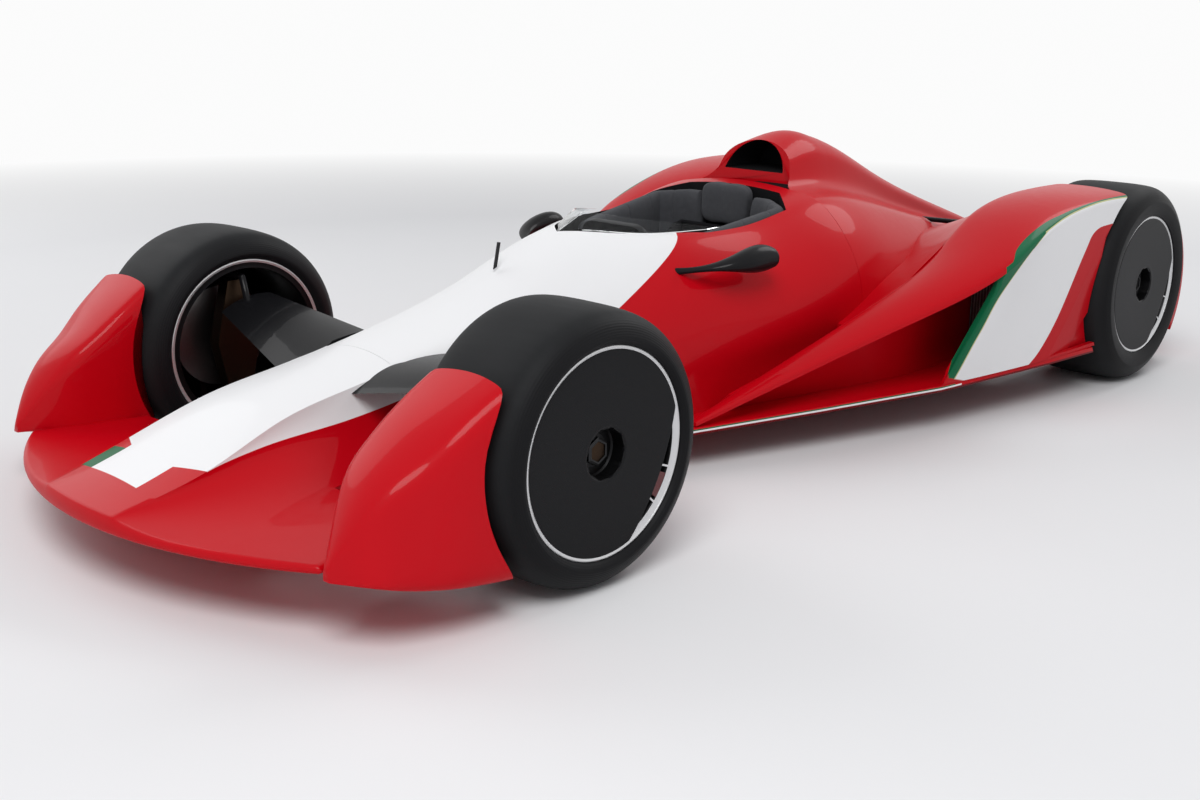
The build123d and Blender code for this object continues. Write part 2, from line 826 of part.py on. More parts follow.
mouth_lean = slanted_cut(
    (rear(MOUTH_LEAN_LOW[0]), MOUTH_LEAN_LOW[1]),
    (rear(MOUTH_LEAN_HIGH[0]), MOUTH_LEAN_HIGH[1]),
    CUT_REACH,
    ahead=True,
)
with BuildPart() as spine:
    loft([spine_section(rear(station), *shape) for station, *shape in SPINE])
    add(mouth_lean, mode=Mode.SUBTRACT)
    with BuildSketch(across(rear(MOUTH_LEAN_LOW[0]) - 1)):
        with BuildLine():
            Line((-MOUTH_HALF, MOUTH_LOW), (MOUTH_HALF, MOUTH_LOW))
            ThreePointArc((MOUTH_HALF, MOUTH_LOW), (0, MOUTH_TOP), (-MOUTH_HALF, MOUTH_LOW))
        make_face()
    extrude(amount=-MOUTH_DEPTH, mode=Mode.SUBTRACT)

with BuildPart() as engine_cover:
    add(cover_body.part)
    add(spine.part)
    loft(
        [hull_section(rear(station), *shape, inset=SHELL_WALL) for station, *shape in SHOULDERS],
        mode=Mode.SUBTRACT,
    )
    add(
        axle_cylinder((0, rear(0), REAR_TYRE_RADIUS), SHAFT_HOLE_RADIUS, REAR_TRACK),
        mode=Mode.SUBTRACT,
    )
finish(engine_cover.part, "engine_cover")

# Windscreen stands on the hood round the opening's front
def screen_band(z, half, reach):
    """Face of the windscreen at a height, open behind, its sides spread like the opening's."""
    centre_y = rear(OPENING_CENTRE_STATION)
    back_y = rear(OPENING_REAR_STATION)
    spread = OPENING_REAR_HALF - OPENING_HALF
    with BuildSketch(Plane.XY.offset(z)) as band:
        for shrink, mode in ((0, Mode.ADD), (SCREEN_THICKNESS, Mode.SUBTRACT)):
            side_x = half - shrink
            with BuildLine():
                pointed_front(side_x, reach - SCREEN_SLANT * shrink, SCREEN_BOW)
                Polyline(
                    (side_x, centre_y),
                    (side_x + spread, back_y),
                    (-side_x - spread, back_y),
                    (-side_x, centre_y),
                )
            make_face(mode=mode)
        with Locations((0, rear(SCREEN_TOP_BACK[0]) + CUT_REACH / 2)):
            Rectangle(CUT_REACH, CUT_REACH, mode=Mode.SUBTRACT)
    return band.sketch.face()


with BuildPart() as windscreen:
    loft([screen_band(*shape) for shape in SCREEN])
    add(tub_body.part, mode=Mode.SUBTRACT)
    add(
        slanted_cut(
            (rear(SCREEN_TOP_BACK[0]), SCREEN_TOP_BACK[1]),
            (rear(SCREEN_TOP_FRONT[0]), SCREEN_TOP_FRONT[1]),
            CUT_REACH,
            ahead=False,
        ),
        mode=Mode.SUBTRACT,
    )
finish(windscreen.part, "windscreen")

# Floor, diffuser and tail
with BuildPart() as floor_plate:
    edge = [(half, rear(station)) for station, half in FLOOR_EDGE]
    edge += [
        (FLOOR_TAIL_HALF, rear(FLOOR_TAIL_STATION)),
        (FLOOR_TAIL_HALF, rear(DIFFUSER_STATION)),
    ]
    left_edge = [(FLOOR_FRONT_HALF, front(NOSE_JOINT))] + edge
    right_edge = [(-x, y) for x, y in reversed(left_edge)]
    add(prism(left_edge + right_edge, Plane.XY, 2 * CUT_REACH))
    low, high = front(NOSE_JOINT) - 100, rear(TAIL_OVERHANG) + 100
    rake = [
        (low, floor_top(low) - FLOOR_THICKNESS),
        (high, floor_top(high) - FLOOR_THICKNESS),
        (high, floor_top(high)),
        (low, floor_top(low)),
    ]
    add(prism(rake, side(-CUT_REACH), 2 * CUT_REACH), mode=Mode.INTERSECT)
    add(rear_arch, mode=Mode.SUBTRACT)
    add(mirrored(rear_arch), mode=Mode.SUBTRACT)
finish(floor_plate.part, "floor")

diffuser_front = rear(DIFFUSER_STATION) + PIECE_GAP
diffuser_low = floor_top(diffuser_front) - FLOOR_THICKNESS
with BuildPart() as diffuser:
    ramp = [
        (diffuser_front, diffuser_low),
        (rear(TAIL_OVERHANG), DIFFUSER_REAR_Z),
        (rear(TAIL_OVERHANG), DIFFUSER_REAR_Z + DIFFUSER_THICKNESS),
        (diffuser_front, diffuser_low + DIFFUSER_THICKNESS),
    ]
    diffuser_half = FAIRING_X[0] - PIECE_GAP
    add(prism(ramp, side(-diffuser_half), 2 * diffuser_half))
    strake = [
        (diffuser_front, diffuser_low),
        (rear(TAIL_OVERHANG), diffuser_low),
        (rear(TAIL_OVERHANG), DIFFUSER_REAR_Z),
    ]
    for x in DIFFUSER_STRAKES:
        add(prism(strake, side(x - STRAKE_THICKNESS / 2), STRAKE_THICKNESS))
    notch_y = rear(FAIRING_FOOT[0])
    for way in (-1, 1):
        with Locations((way * (FLOOR_TAIL_HALF + CUT_REACH / 2), notch_y - CUT_REACH / 2, 0)):
            Box(CUT_REACH, CUT_REACH, CUT_REACH * 2, mode=Mode.SUBTRACT)
    add(cover_body.part, mode=Mode.SUBTRACT)
finish(diffuser.part, "diffuser")

with BuildPart() as tail_cone:
    tail_front = SHOULDERS[-1][0]
    tail_shape = SHOULDERS[-1][1:]
    loft(
        [
            hull_section(rear(tail_front) + PIECE_GAP, *tail_shape),
            hull_section(rear(TAIL_OVERHANG), *TAIL_SHAPE),
        ]
    )
    under_ramp = [
        (diffuser_front, 0),
        (rear(TAIL_OVERHANG), 0),
        (rear(TAIL_OVERHANG), DIFFUSER_REAR_Z + DIFFUSER_THICKNESS + PIECE_GAP),
        (diffuser_front, diffuser_low + DIFFUSER_THICKNESS + PIECE_GAP),
    ]
    add(prism(under_ramp, side(-diffuser_half), 2 * diffuser_half), mode=Mode.SUBTRACT)
finish(tail_cone.part, "tail_cone")

with BuildPart() as fairing:
    with BuildSketch(side(FAIRING_X[0])):
        with BuildLine():
            ThreePointArc(
                (rear(FAIRING_TOP[0]), FAIRING_TOP[1]),
                (rear(FAIRING_BULGE[0]), FAIRING_BULGE[1]),
                (rear(FAIRING_FOOT[0]), FAIRING_FOOT[1]),
            )
            Line(
                (rear(FAIRING_FOOT[0]), FAIRING_FOOT[1]),
                (rear(FAIRING_TOP[0]), FAIRING_TOP[1]),
            )
        make_face()
    extrude(amount=FAIRING_X[1] - FAIRING_X[0])
    add(rear_arch, mode=Mode.SUBTRACT)
finish_both(fairing.part, "rear_fairings")

# Radiators stand on the floor between the arch's inner wall and the side panel
with BuildPart() as radiators:
    radiator_low = floor_top(rear(RADIATOR_STATION) + RADIATOR_DEPTH / 2) + PIECE_GAP
    radiator_high = RADIATOR_TOP
    width = RADIATOR_X[1] - RADIATOR_X[0]
    middle_x = (RADIATOR_X[0] + RADIATOR_X[1]) / 2
    middle_z = (radiator_low + radiator_high) / 2
    for way in (-1, 1):
        with Locations((way * middle_x, rear(RADIATOR_STATION), middle_z)):
            Box(width, RADIATOR_DEPTH, radiator_high - radiator_low)
finish(radiators.part, "radiators")

# Engine and gearbox in the closed rear hull, as one plain block each
with BuildPart() as engine:
    engine_low = floor_top(rear(ENGINE_STATIONS[1])) + PIECE_GAP
    engine_length = ENGINE_STATIONS[1] - ENGINE_STATIONS[0]
    engine_height = ENGINE_TOP - engine_low
    with Locations(
        (0, rear(sum(ENGINE_STATIONS) / 2), engine_low + engine_height / 2)
    ):
        Box(2 * ENGINE_HALF, engine_length, engine_height)
finish(engine.part, "engine")
with BuildPart() as gearbox:
    gearbox_low = floor_top(rear(GEARBOX_STATIONS[1])) + PIECE_GAP
    gearbox_length = GEARBOX_STATIONS[1] - GEARBOX_STATIONS[0]
    gearbox_height = GEARBOX_TOP - gearbox_low
    with Locations(
        (0, rear(sum(GEARBOX_STATIONS) / 2), gearbox_low + gearbox_height / 2)
    ):
        Box(2 * GEARBOX_HALF, gearbox_length, gearbox_height)
    for way in (-1, 1):
        add(
            axle_cylinder(
                (way * (GEARBOX_HALF + FLANGE_REACH / 2), rear(0), REAR_TYRE_RADIUS),
                JOINT_RADIUS,
                FLANGE_REACH,
            )
        )
finish(gearbox.part, "gearbox")

# Mirrors: carbon pods on swept arms, and their glasses
def upright_oval(x, station, z, width, height):
    """Oval across the car at a station behind the front axle."""
    with BuildSketch(across(front(station))) as oval:
        with Locations((x, z)):
            Ellipse(width / 2, height / 2)
    return oval.sketch.face()


with BuildPart() as mirror_pod:
    loft([upright_oval(*shape) for shape in MIRROR_POD])
    add(tub_body.part, mode=Mode.SUBTRACT)
back_x, back_station, back_z, back_width, back_height = MIRROR_POD[-1]
with BuildPart() as mirror_glass:
    with BuildSketch(across(front(back_station) + PIECE_GAP + MIRROR_GLASS_THICKNESS)):
        with Locations((back_x, back_z)):
            Ellipse(back_width / 2 - MIRROR_GLASS_INSET, back_height / 2 - MIRROR_GLASS_INSET)
    extrude(amount=MIRROR_GLASS_THICKNESS)
finish_both(mirror_pod.part, "mirrors")
finish_both(mirror_glass.part, "mirror_glasses")

with BuildPart() as speed_probe:
    mast_foot = Vector(0, front(PROBE_STATION), PROBE_ROOT)
    mast_way = Vector(0, PROBE_LEAN, PROBE_TOP - PROBE_ROOT)
    with BuildSketch(Plane(origin=mast_foot, x_dir=(1, 0, 0), z_dir=mast_way)):
        RectangleRounded(PROBE_WIDTH, PROBE_CHORD, PROBE_ROUND)
    extrude(amount=mast_way.length)
    add(tub_body.part, mode=Mode.SUBTRACT)
finish(speed_probe.part, "speed_probe")


# Wheels, made about an X axle at the origin, outboard side towards +X
def wheel_profile(outline):
    """Ring turned about X from a closed outline of (x, radius)."""
    with BuildPart() as ring:
        with BuildSketch(Plane.XY):
            with BuildLine():
                Polyline(*outline, outline[0])
            make_face()
        revolve(axis=Axis.X)
    return ring.part


def both_sides(points):
    """Closed outline of (x, radius) from its right half, listed from the bore outwards."""
    return points + [(-x, radius) for x, radius in reversed(points)]


def tyre(radius, width):
    """Slick tyre: flat tread, slanted shoulders, walls leaning in to the beads."""
    half = width / 2
    bead = (half - RIM_INSET - FLANGE_FOOT - PIECE_GAP, BEAD_RADIUS + PIECE_GAP)
    widest = (half, radius - SHOULDER_DROP)
    tread_end = (half - SHOULDER_REACH, radius)
    return wheel_profile(both_sides([bead, widest, tread_end]))


def rim(width):
    """Barrel with two leaning flanges, tapered spokes right behind the cover, and a hub."""
    half = width / 2 - RIM_INSET
    inner = BEAD_RADIUS - BARREL_WALL
    cover_back = half - COVER_RECESS - COVER_THICKNESS - PIECE_GAP
    spoke_start, spoke_end = HUB_RADIUS - SPOKE_OVERLAP, inner + SPOKE_OVERLAP
    spoke = [
        (spoke_start, -SPOKE_ROOT_WIDTH / 2),
        (spoke_end, -SPOKE_END_WIDTH / 2),
        (spoke_end, SPOKE_END_WIDTH / 2),
        (spoke_start, SPOKE_ROOT_WIDTH / 2),
    ]
    seat_radius = COVER_RADIUS + COVER_GAP
    barrel = [
        (cover_back, inner),
        (cover_back, seat_radius),
        (half, seat_radius),
        (half, FLANGE_RADIUS),
        (half - FLANGE_TIP, FLANGE_RADIUS),
        (half - FLANGE_FOOT, BEAD_RADIUS),
    ]
    with BuildPart() as wheel:
        add(wheel_profile(both_sides(barrel)))
        with BuildSketch(side(cover_back)):
            with PolarLocations(0, SPOKE_COUNT):
                Polygon(*spoke, align=None)
        extrude(amount=-SPOKE_DEPTH)
        with BuildSketch(side(cover_back)):
            Circle(HUB_RADIUS)
        extrude(amount=-HUB_DEPTH)
        with BuildSketch(side(cover_back)):
            Circle(HUB_CUP_RADIUS)
        extrude(amount=-HUB_CUP_DEPTH, mode=Mode.SUBTRACT)
        with BuildSketch(side(cover_back)):
            Circle(HUB_BORE_RADIUS + AXLE_CLEARANCE)
        extrude(amount=-2 * HUB_DEPTH, mode=Mode.SUBTRACT)
    return wheel.part


def wheel_cover(width):
    """Disc in the rim's mouth with a centre hole and a crescent left open on one side."""
    face = width / 2 - RIM_INSET - COVER_RECESS
    turn = math.radians(CRESCENT_TURN)
    shift = (-CRESCENT_OFFSET * math.cos(turn), -CRESCENT_OFFSET * math.sin(turn))
    with BuildPart() as cover:
        with BuildSketch(side(face)):
            Circle(COVER_RADIUS)
            with Locations(shift):
                Circle(CRESCENT_RADIUS, mode=Mode.INTERSECT)
            Circle(COVER_HOLE_RADIUS, mode=Mode.SUBTRACT)
        extrude(amount=-COVER_THICKNESS)
    return cover.part


WHEELS = [
    ("front", FRONT_TRACK / 2, front(0), FRONT_TYRE_RADIUS, FRONT_TYRE_WIDTH),
    ("rear", REAR_TRACK / 2, rear(0), REAR_TYRE_RADIUS, REAR_TYRE_WIDTH),
]
for end, wheel_x, wheel_y, radius, width in WHEELS:
    place = Location((wheel_x, wheel_y, radius))
    finish_pair(tyre(radius, width).moved(place), end + "_tyre")
    finish_pair(rim(width).moved(place), end + "_rim")
    finish_pair(wheel_cover(width).moved(place), end + "_wheel_cover")

HUB_INNER_INSET = RIM_INSET + COVER_RECESS + COVER_THICKNESS + PIECE_GAP + HUB_DEPTH

# Front brake discs on bells that bolt to the hub's inner end
front_hub_x = FRONT_TYRE_WIDTH / 2 - HUB_INNER_INSET
with BuildPart() as brake_disc:
    with BuildSketch(side(front_hub_x - PIECE_GAP)):
        Circle(HUB_RADIUS)
        Circle(HUB_BORE_RADIUS + BELL_CLEARANCE, mode=Mode.SUBTRACT)
    extrude(amount=-DISC_BELL - 1)
    with BuildSketch(side(front_hub_x - PIECE_GAP - DISC_BELL)):
        Circle(DISC_RADIUS)
        Circle(HUB_BORE_RADIUS + BELL_CLEARANCE, mode=Mode.SUBTRACT)
    extrude(amount=-DISC_THICKNESS)
finish_pair(
    brake_disc.part.moved(Location((FRONT_TRACK / 2, front(0), FRONT_TYRE_RADIUS))),
    "brake_disc",
)

# Front knuckle: upright with the axle, eyes above and below the disc, and the caliper
kingpin_x = FRONT_TRACK / 2 - KINGPIN_OFFSET
link_knee_x = FRONT_TRACK / 2 - LINK_KNEE_INSET
cover_tip_x = FRONT_TRACK / 2 - COVER_TIP_INSET
upright_x = FRONT_TRACK / 2 - UPRIGHT_OFFSET
disc_back_x = FRONT_TRACK / 2 + front_hub_x - PIECE_GAP - DISC_BELL - DISC_THICKNESS
axle_end = FRONT_TRACK / 2 + front_hub_x + HUB_DEPTH - HUB_CUP_DEPTH + AXLE_STUB
disc_room = axle_cylinder(
    (disc_back_x + DISC_THICKNESS / 2, front(0), FRONT_TYRE_RADIUS),
    DISC_RADIUS + CALIPER_GAP,
    DISC_THICKNESS + 2 * CALIPER_GAP,
)
with BuildPart() as knuckle:
    caliper_near, caliper_far = CALIPER_REACH
    caliper_back = upright_x
    caliper_width = disc_back_x + DISC_THICKNESS + CALIPER_WALL - caliper_back
    with Locations(
        (
            caliper_back + caliper_width / 2,
            front((caliper_near + caliper_far) / 2),
            FRONT_TYRE_RADIUS,
        )
    ):
        Box(caliper_width, caliper_far - caliper_near, 2 * CALIPER_HALF_HEIGHT)
    fillet(knuckle.edges().filter_by(Axis.X), 14)
    add(disc_room, mode=Mode.SUBTRACT)
    with Locations(
        (upright_x, front((UPRIGHT_NECK + caliper_far) / 2), FRONT_TYRE_RADIUS)
    ):
        Box(UPRIGHT_THICKNESS, caliper_far - UPRIGHT_NECK, CALIPER_HALF_HEIGHT)
    outline = [
        (front(-UPRIGHT_NECK), LOWER_EYE_Z - EYE_HEIGHT / 2),
        (front(UPRIGHT_NECK), LOWER_EYE_Z - EYE_HEIGHT / 2),
        (front(UPRIGHT_HALF), FRONT_TYRE_RADIUS),
        (front(UPRIGHT_NECK), UPPER_EYE_Z + EYE_HEIGHT / 2),
        (front(-UPRIGHT_NECK), UPPER_EYE_Z + EYE_HEIGHT / 2),
        (front(-UPRIGHT_HALF), FRONT_TYRE_RADIUS),
    ]
    add(prism(outline, side(upright_x - UPRIGHT_THICKNESS / 2), UPRIGHT_THICKNESS))
    for eye_z in (LOWER_EYE_Z, UPPER_EYE_Z):
        with Locations((kingpin_x, front(0), eye_z)):
            Cylinder(EYE_RADIUS, EYE_HEIGHT)
        with Locations(((kingpin_x + upright_x) / 2, front(0), eye_z)):
            Box(kingpin_x - upright_x, 2 * EYE_RADIUS, EYE_HEIGHT)
        with Locations((kingpin_x, front(0), eye_z)):
            Cylinder(KINGPIN_RADIUS + AXLE_CLEARANCE, 2 * EYE_HEIGHT, mode=Mode.SUBTRACT)
    with BuildSketch(side(upright_x)):
        with Locations((front(0), FRONT_TYRE_RADIUS)):
            Circle(HUB_BORE_RADIUS)
    extrude(amount=axle_end - upright_x)
finish_pair(knuckle.part, "front_knuckle")


def kingpin_link(eye_z, way):
    """Link's end over (way 1) or under (way -1) an eye, with its pin through the eye."""
    seat = eye_z + way * (EYE_HEIGHT / 2 + PIECE_GAP)
    middle = seat + way * LINK_BOSS_HEIGHT / 2
    pin_end = eye_z - way * (EYE_HEIGHT / 2 + 2)
    with BuildPart() as link:
        with Locations((kingpin_x, front(0), middle)):
            Cylinder(LINK_BOSS_RADIUS, LINK_BOSS_HEIGHT)
        with Locations((kingpin_x, front(0), (middle + pin_end) / 2)):
            Cylinder(KINGPIN_RADIUS, abs(middle - pin_end))
        add(rod((link_knee_x, front(0), middle), (kingpin_x, front(0), middle), LINK_RADIUS))
    return link.part, middle


# Front suspension: carbon covers over the upper arms, and the lower arms
upper_link, upper_link_z = kingpin_link(UPPER_EYE_Z, 1)
lower_link, lower_link_z = kingpin_link(LOWER_EYE_Z, -1)
with BuildPart() as upper_arm:
    loft(
        [
            blade_section(x, (front(nose[0]), nose[1]), (front(tail[0]), tail[1]), depth)
            for x, (nose, tail, depth) in zip((COVER_ROOT_X, cover_tip_x), COVER_BLADES)
        ]
    )
    tip_nose, tip_tail, tip_depth = COVER_BLADES[-1]
    tip_z = (tip_nose[1] + tip_tail[1]) / 2
    add(rod((cover_tip_x - 20, front(0), tip_z), (link_knee_x, front(0), upper_link_z), LINK_RADIUS))
    with Locations((link_knee_x, front(0), upper_link_z)):
        Sphere(LINK_RADIUS)
    add(upper_link)
    add(tub_body.part, mode=Mode.SUBTRACT)
    add(nose_cone.part, mode=Mode.SUBTRACT)
finish_both(upper_arm.part, "front_upper_arms")

with BuildPart() as lower_arm:
    for station, x, z in LOWER_ARM_ROOTS:
        add(rod((x, front(station), z), (link_knee_x, front(0), lower_link_z), ARM_RADIUS))
    with Locations((link_knee_x, front(0), lower_link_z)):
        Sphere(ARM_RADIUS)
    add(lower_link)
    add(tub_body.part, mode=Mode.SUBTRACT)
    add(nose_cone.part, mode=Mode.SUBTRACT)
finish_both(lower_arm.part, "front_lower_arms")

# Rear uprights, arms, and the driveshafts with their discs
with BuildPart() as rear_upright:
    low_z, high_z = REAR_UPRIGHT_Z
    outline = [
        (rear(-UPRIGHT_NECK), low_z),
        (rear(UPRIGHT_NECK), low_z),
        (rear(REAR_UPRIGHT_HALF), REAR_TYRE_RADIUS),
        (rear(UPRIGHT_NECK), high_z),
        (rear(-UPRIGHT_NECK), high_z),
        (rear(-REAR_UPRIGHT_HALF), REAR_TYRE_RADIUS),
    ]
    add(prism(outline, side(REAR_UPRIGHT_X), REAR_UPRIGHT_THICKNESS))
    add(
        axle_cylinder(REAR_WHEEL_CENTRE, REAR_HUB_RADIUS + AXLE_CLEARANCE, REAR_TRACK / 2),
        mode=Mode.SUBTRACT,
    )
finish_both(rear_upright.part, "rear_uprights")

with BuildPart() as rear_arm:
    for station, x, z, joint_z in REAR_ARM_LEGS:
        joint = (REAR_UPRIGHT_X - PIECE_GAP, rear(0), joint_z)
        add(rod((x, rear(station), z), joint, REAR_ARM_RADIUS))
    add(cover_body.part, mode=Mode.SUBTRACT)
    with Locations((REAR_UPRIGHT_X - PIECE_GAP + CUT_REACH / 2, rear(0), CUT_REACH / 2)):
        Box(CUT_REACH, CUT_REACH, CUT_REACH, mode=Mode.SUBTRACT)
finish_both(rear_arm.part, "rear_arms")

rear_hub_x = REAR_TYRE_WIDTH / 2 - HUB_INNER_INSET
hub_face_x = REAR_TRACK / 2 + rear_hub_x - PIECE_GAP
shaft_start_x = GEARBOX_HALF + FLANGE_REACH + PIECE_GAP
# Columns: x from, x to, radius of each length of the drive
DRIVE_LENGTHS = [
    (shaft_start_x, shaft_start_x + JOINT_LENGTH, JOINT_RADIUS),
    (shaft_start_x, REAR_UPRIGHT_X, DRIVESHAFT_RADIUS),
    (REAR_UPRIGHT_X - PIECE_GAP, hub_face_x, REAR_HUB_RADIUS),
    (hub_face_x - DISC_BELL - DISC_THICKNESS, hub_face_x - DISC_BELL, DISC_RADIUS),
    (hub_face_x - DISC_BELL - 1, hub_face_x, HUB_RADIUS),
    (hub_face_x - 1, hub_face_x + HUB_DEPTH - HUB_CUP_DEPTH + AXLE_STUB, HUB_BORE_RADIUS),
]
with BuildPart() as driveshaft:
    for x_from, x_to, radius in DRIVE_LENGTHS:
        add(
            axle_cylinder(
                ((x_from + x_to) / 2, rear(0), REAR_TYRE_RADIUS), radius, x_to - x_from
            )
        )
finish_pair(driveshaft.part, "rear_driveshaft")
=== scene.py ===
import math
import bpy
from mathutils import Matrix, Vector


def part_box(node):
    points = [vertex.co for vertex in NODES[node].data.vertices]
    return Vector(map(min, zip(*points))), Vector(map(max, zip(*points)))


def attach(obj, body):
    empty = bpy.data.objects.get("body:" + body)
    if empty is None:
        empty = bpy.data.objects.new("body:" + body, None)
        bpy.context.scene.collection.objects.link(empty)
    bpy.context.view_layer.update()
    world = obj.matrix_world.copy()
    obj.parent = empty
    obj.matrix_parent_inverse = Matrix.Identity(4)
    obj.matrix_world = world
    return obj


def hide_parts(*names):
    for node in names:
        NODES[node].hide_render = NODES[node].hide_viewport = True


bl_info = {
    "name": "Open wheel racing car",
    "version": (1, 0, 0),
    "blender": (4, 5, 0),
    "location": "View3D > Sidebar > Racing car",
    "description": "Dresses the packed model of a single seat racing car: painted bodywork, wheels, cockpit",
    "category": "Object",
}

import bmesh
import bpy
import numpy as np
from bpy.props import FloatProperty, FloatVectorProperty, IntProperty, PointerProperty
from mathutils import Matrix, Vector

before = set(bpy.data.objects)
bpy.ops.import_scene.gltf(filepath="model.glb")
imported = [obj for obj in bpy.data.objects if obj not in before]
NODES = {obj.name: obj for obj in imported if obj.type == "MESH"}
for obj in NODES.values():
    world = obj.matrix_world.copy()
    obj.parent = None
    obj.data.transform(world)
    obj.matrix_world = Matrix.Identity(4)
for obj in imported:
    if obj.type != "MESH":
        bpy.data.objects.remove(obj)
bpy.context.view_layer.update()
SIDES = (("left", 1.0), ("right", -1.0))

# Metres. Nose towards -Y, the car's left side towards +X, floor at Z = 0.
FRONT_AXLE = -1.300
REAR_AXLE = 1.495
MM = 0.001

# Both axles: name, place along the car, and their tyres' radius and width
FRONT_RADIUS = 0.325
REAR_RADIUS = 0.355
FRONT_CENTRE = (0, FRONT_AXLE, FRONT_RADIUS)
REAR_CENTRE = (0, REAR_AXLE, REAR_RADIUS)
AXLES = (("front", FRONT_AXLE, FRONT_RADIUS, 0.330), ("rear", REAR_AXLE, REAR_RADIUS, 0.345))

# Joints of the bodywork along the car: nose and tub, tub and engine cover, engine cover and tail
NOSE_JOINT = FRONT_AXLE - 0.030
COVER_JOINT = FRONT_AXLE + 1.560
TAIL_JOINT = REAR_AXLE + 0.430

# Cockpit opening along the car, and half its width in front
COCKPIT_FRONT = REAR_AXLE - 1.720
COCKPIT_SIDE = REAR_AXLE - 1.375
COCKPIT_BACK = REAR_AXLE - 1.285
COCKPIT_HALF = 0.254

# Rims: radius of the lip, and how far its face lies within the tyre's
LIP_RADIUS = 0.2475
RIM_INSET = 0.0135

# Nose cone as a height field, rows: station behind the front axle, crest x, crest z, crown z,
# hollow x, hollow z, foot x, foot z
NOSE = [
    (-830, 150, 186, 190, 200, 180, 300, 172),
    (-580, 178, 254, 270, 228, 206, 380, 180),
    (-379, 163, 325, 344, 200, 240, 320, 182),
    (-157, 155, 368, 390, 190, 262, 255, 176),
    (-30, 156, 393, 418, 202, 275, 235, 170),
]
SPLITTER_TOP = 170
SPLITTER_BASE = 150
SPLITTER_RADIUS = 1118
SPLITTER_NOSE = -830
# Splitter's edge: two stations behind the front axle, and its half widths there
SPLITTER_EDGE = ([-618, -330], [655, 585])

# Hull from the nose joint to the tail, rows: station behind the front axle, crest x, crest z,
# waist x, waist z, foot x, foot z
HULL = [
    (-30, 156, 393, 202, 275, 235, 170),
    (300, 165, 465, 258, 330, 272, 190),
    (640, 205, 552, 322, 400, 330, 210),
    (950, 252, 634, 382, 455, 378, 235),
    (1250, 284, 648, 436, 470, 430, 255),
    (1560, 312, 704, 470, 510, 486, 280),
    (1900, 272, 668, 440, 495, 492, 290),
    (2250, 240, 588, 375, 455, 440, 290),
    (2595, 205, 512, 275, 400, 320, 280),
    (2895, 172, 450, 225, 372, 255, 276),
    (3225, 140, 392, 172, 345, 185, 270),
]

# Height of the tub's top on the centre line, by the same stations
CROWN = [(-30, 418), (300, 497), (640, 640), (950, 672), (1250, 690), (1560, 740)]

# Engine cover's ridge, rows: station behind the rear axle, ridge z, neck x, neck z, hollow x, hollow z
RIDGE = [
    (-1235, 868, 146, 775, 196, 722),
    (-1045, 893, 138, 775, 186, 716),
    (-895, 870, 128, 765, 172, 696),
    (-545, 736, 96, 665, 134, 610),
    (-200, 612, 72, 566, 100, 528),
    (100, 520, 54, 480, 80, 456),
    (430, 414, 38, 404, 60, 397),
]

# Deflector pods, rows: station behind the front axle, inner x, inner z, rise, outer x, outer z,
# outer bottom x, bottom z
DEFLECTOR = [
    (-640, 694, 178, 3, 706, 182, 716, 158),
    (-610, 672, 225, 10, 730, 238, 778, 158),
    (-530, 616, 338, 20, 776, 333, 832, 139),
    (-461, 596, 397, 20, 805, 381, 853, 125),
    (-404, 591, 440, 18, 830, 431, 864, 116),
    (-291, 599, 520, 10, 864, 519, 872, 102),
    (-230, 606, 560, 8, 890, 560, 876, 96),
]

# Arch deck, rows: station behind the rear axle, inner x, inner z, outer x, outer z, crown, thickness
DECK = [
    (-1995, 436, 146, 462, 146, 2, 10),
    (-1700, 505, 268, 582, 264, 8, 18),
    (-1345, 585, 412, 728, 398, 12, 22),
    (-1009, 596, 532, 862, 538, 20, 24),
    (-795, 580, 632, 868, 622, 16, 24),
    (-495, 572, 694, 870, 686, 12, 24),
    (-160, 570, 702, 870, 692, 8, 24),
]

# Arch inner wall, rows: station behind the rear axle, foot x, top x, top z
WALL = [
    (-1840, 400, 466, 200), (-1635, 452, 532, 284), (-1428, 508, 580, 372), (-1104, 586, 604, 480),
    (-795, 592, 596, 612), (-160, 590, 590, 682)]

# Shelf between engine cover and deck, rows: station behind the rear axle, inner x, inner z,
# outer x, outer z
SHELF = [
    (-1345, 480, 345, 600, 368), (-1150, 440, 436, 604, 472), (-895, 410, 486, 598, 582),
    (-695, 330, 528, 590, 648), (-520, 300, 545, 588, 680)]

# Striped side panel, rows: station behind the rear axle, foot x
PANEL = [(-1160, 732), (-1009, 764), (-795, 803), (-495, 843), (-160, 868)]

# Airbox, whose front leans back above its foot: the height over which that sets in, how far back
# it is at a height, how much further per metre above that, and the length over which it fades
AIRBOX_FOOT = 0.715
AIRBOX_BLEND = 0.045
AIRBOX_BACK_AT = (0.700, 0.0273)
AIRBOX_LEAN = 0.378
AIRBOX_FADE = 0.30

# Cockpit padding's slanted top: station behind the rear axle and height, in front and behind
PAD_FRONT = (-1790, 622)
PAD_BACK = (-1290, 702)

# Recess ahead of the rear tyre, corners on the panel: front, top and rear
RECESS = ((0.832, 0.888, 0.178), (0.872, 1.144, 0.553), (0.862, 1.175, 0.188))
RECESS_DEPTH = 0.036

# Rooms for the tyres: radius in the deflector pods, and low down and high up in the rear arches
POD_ROOM = 0.350
ARCH_ROOM_LOW = 0.362
ARCH_ROOM_HIGH = 0.383

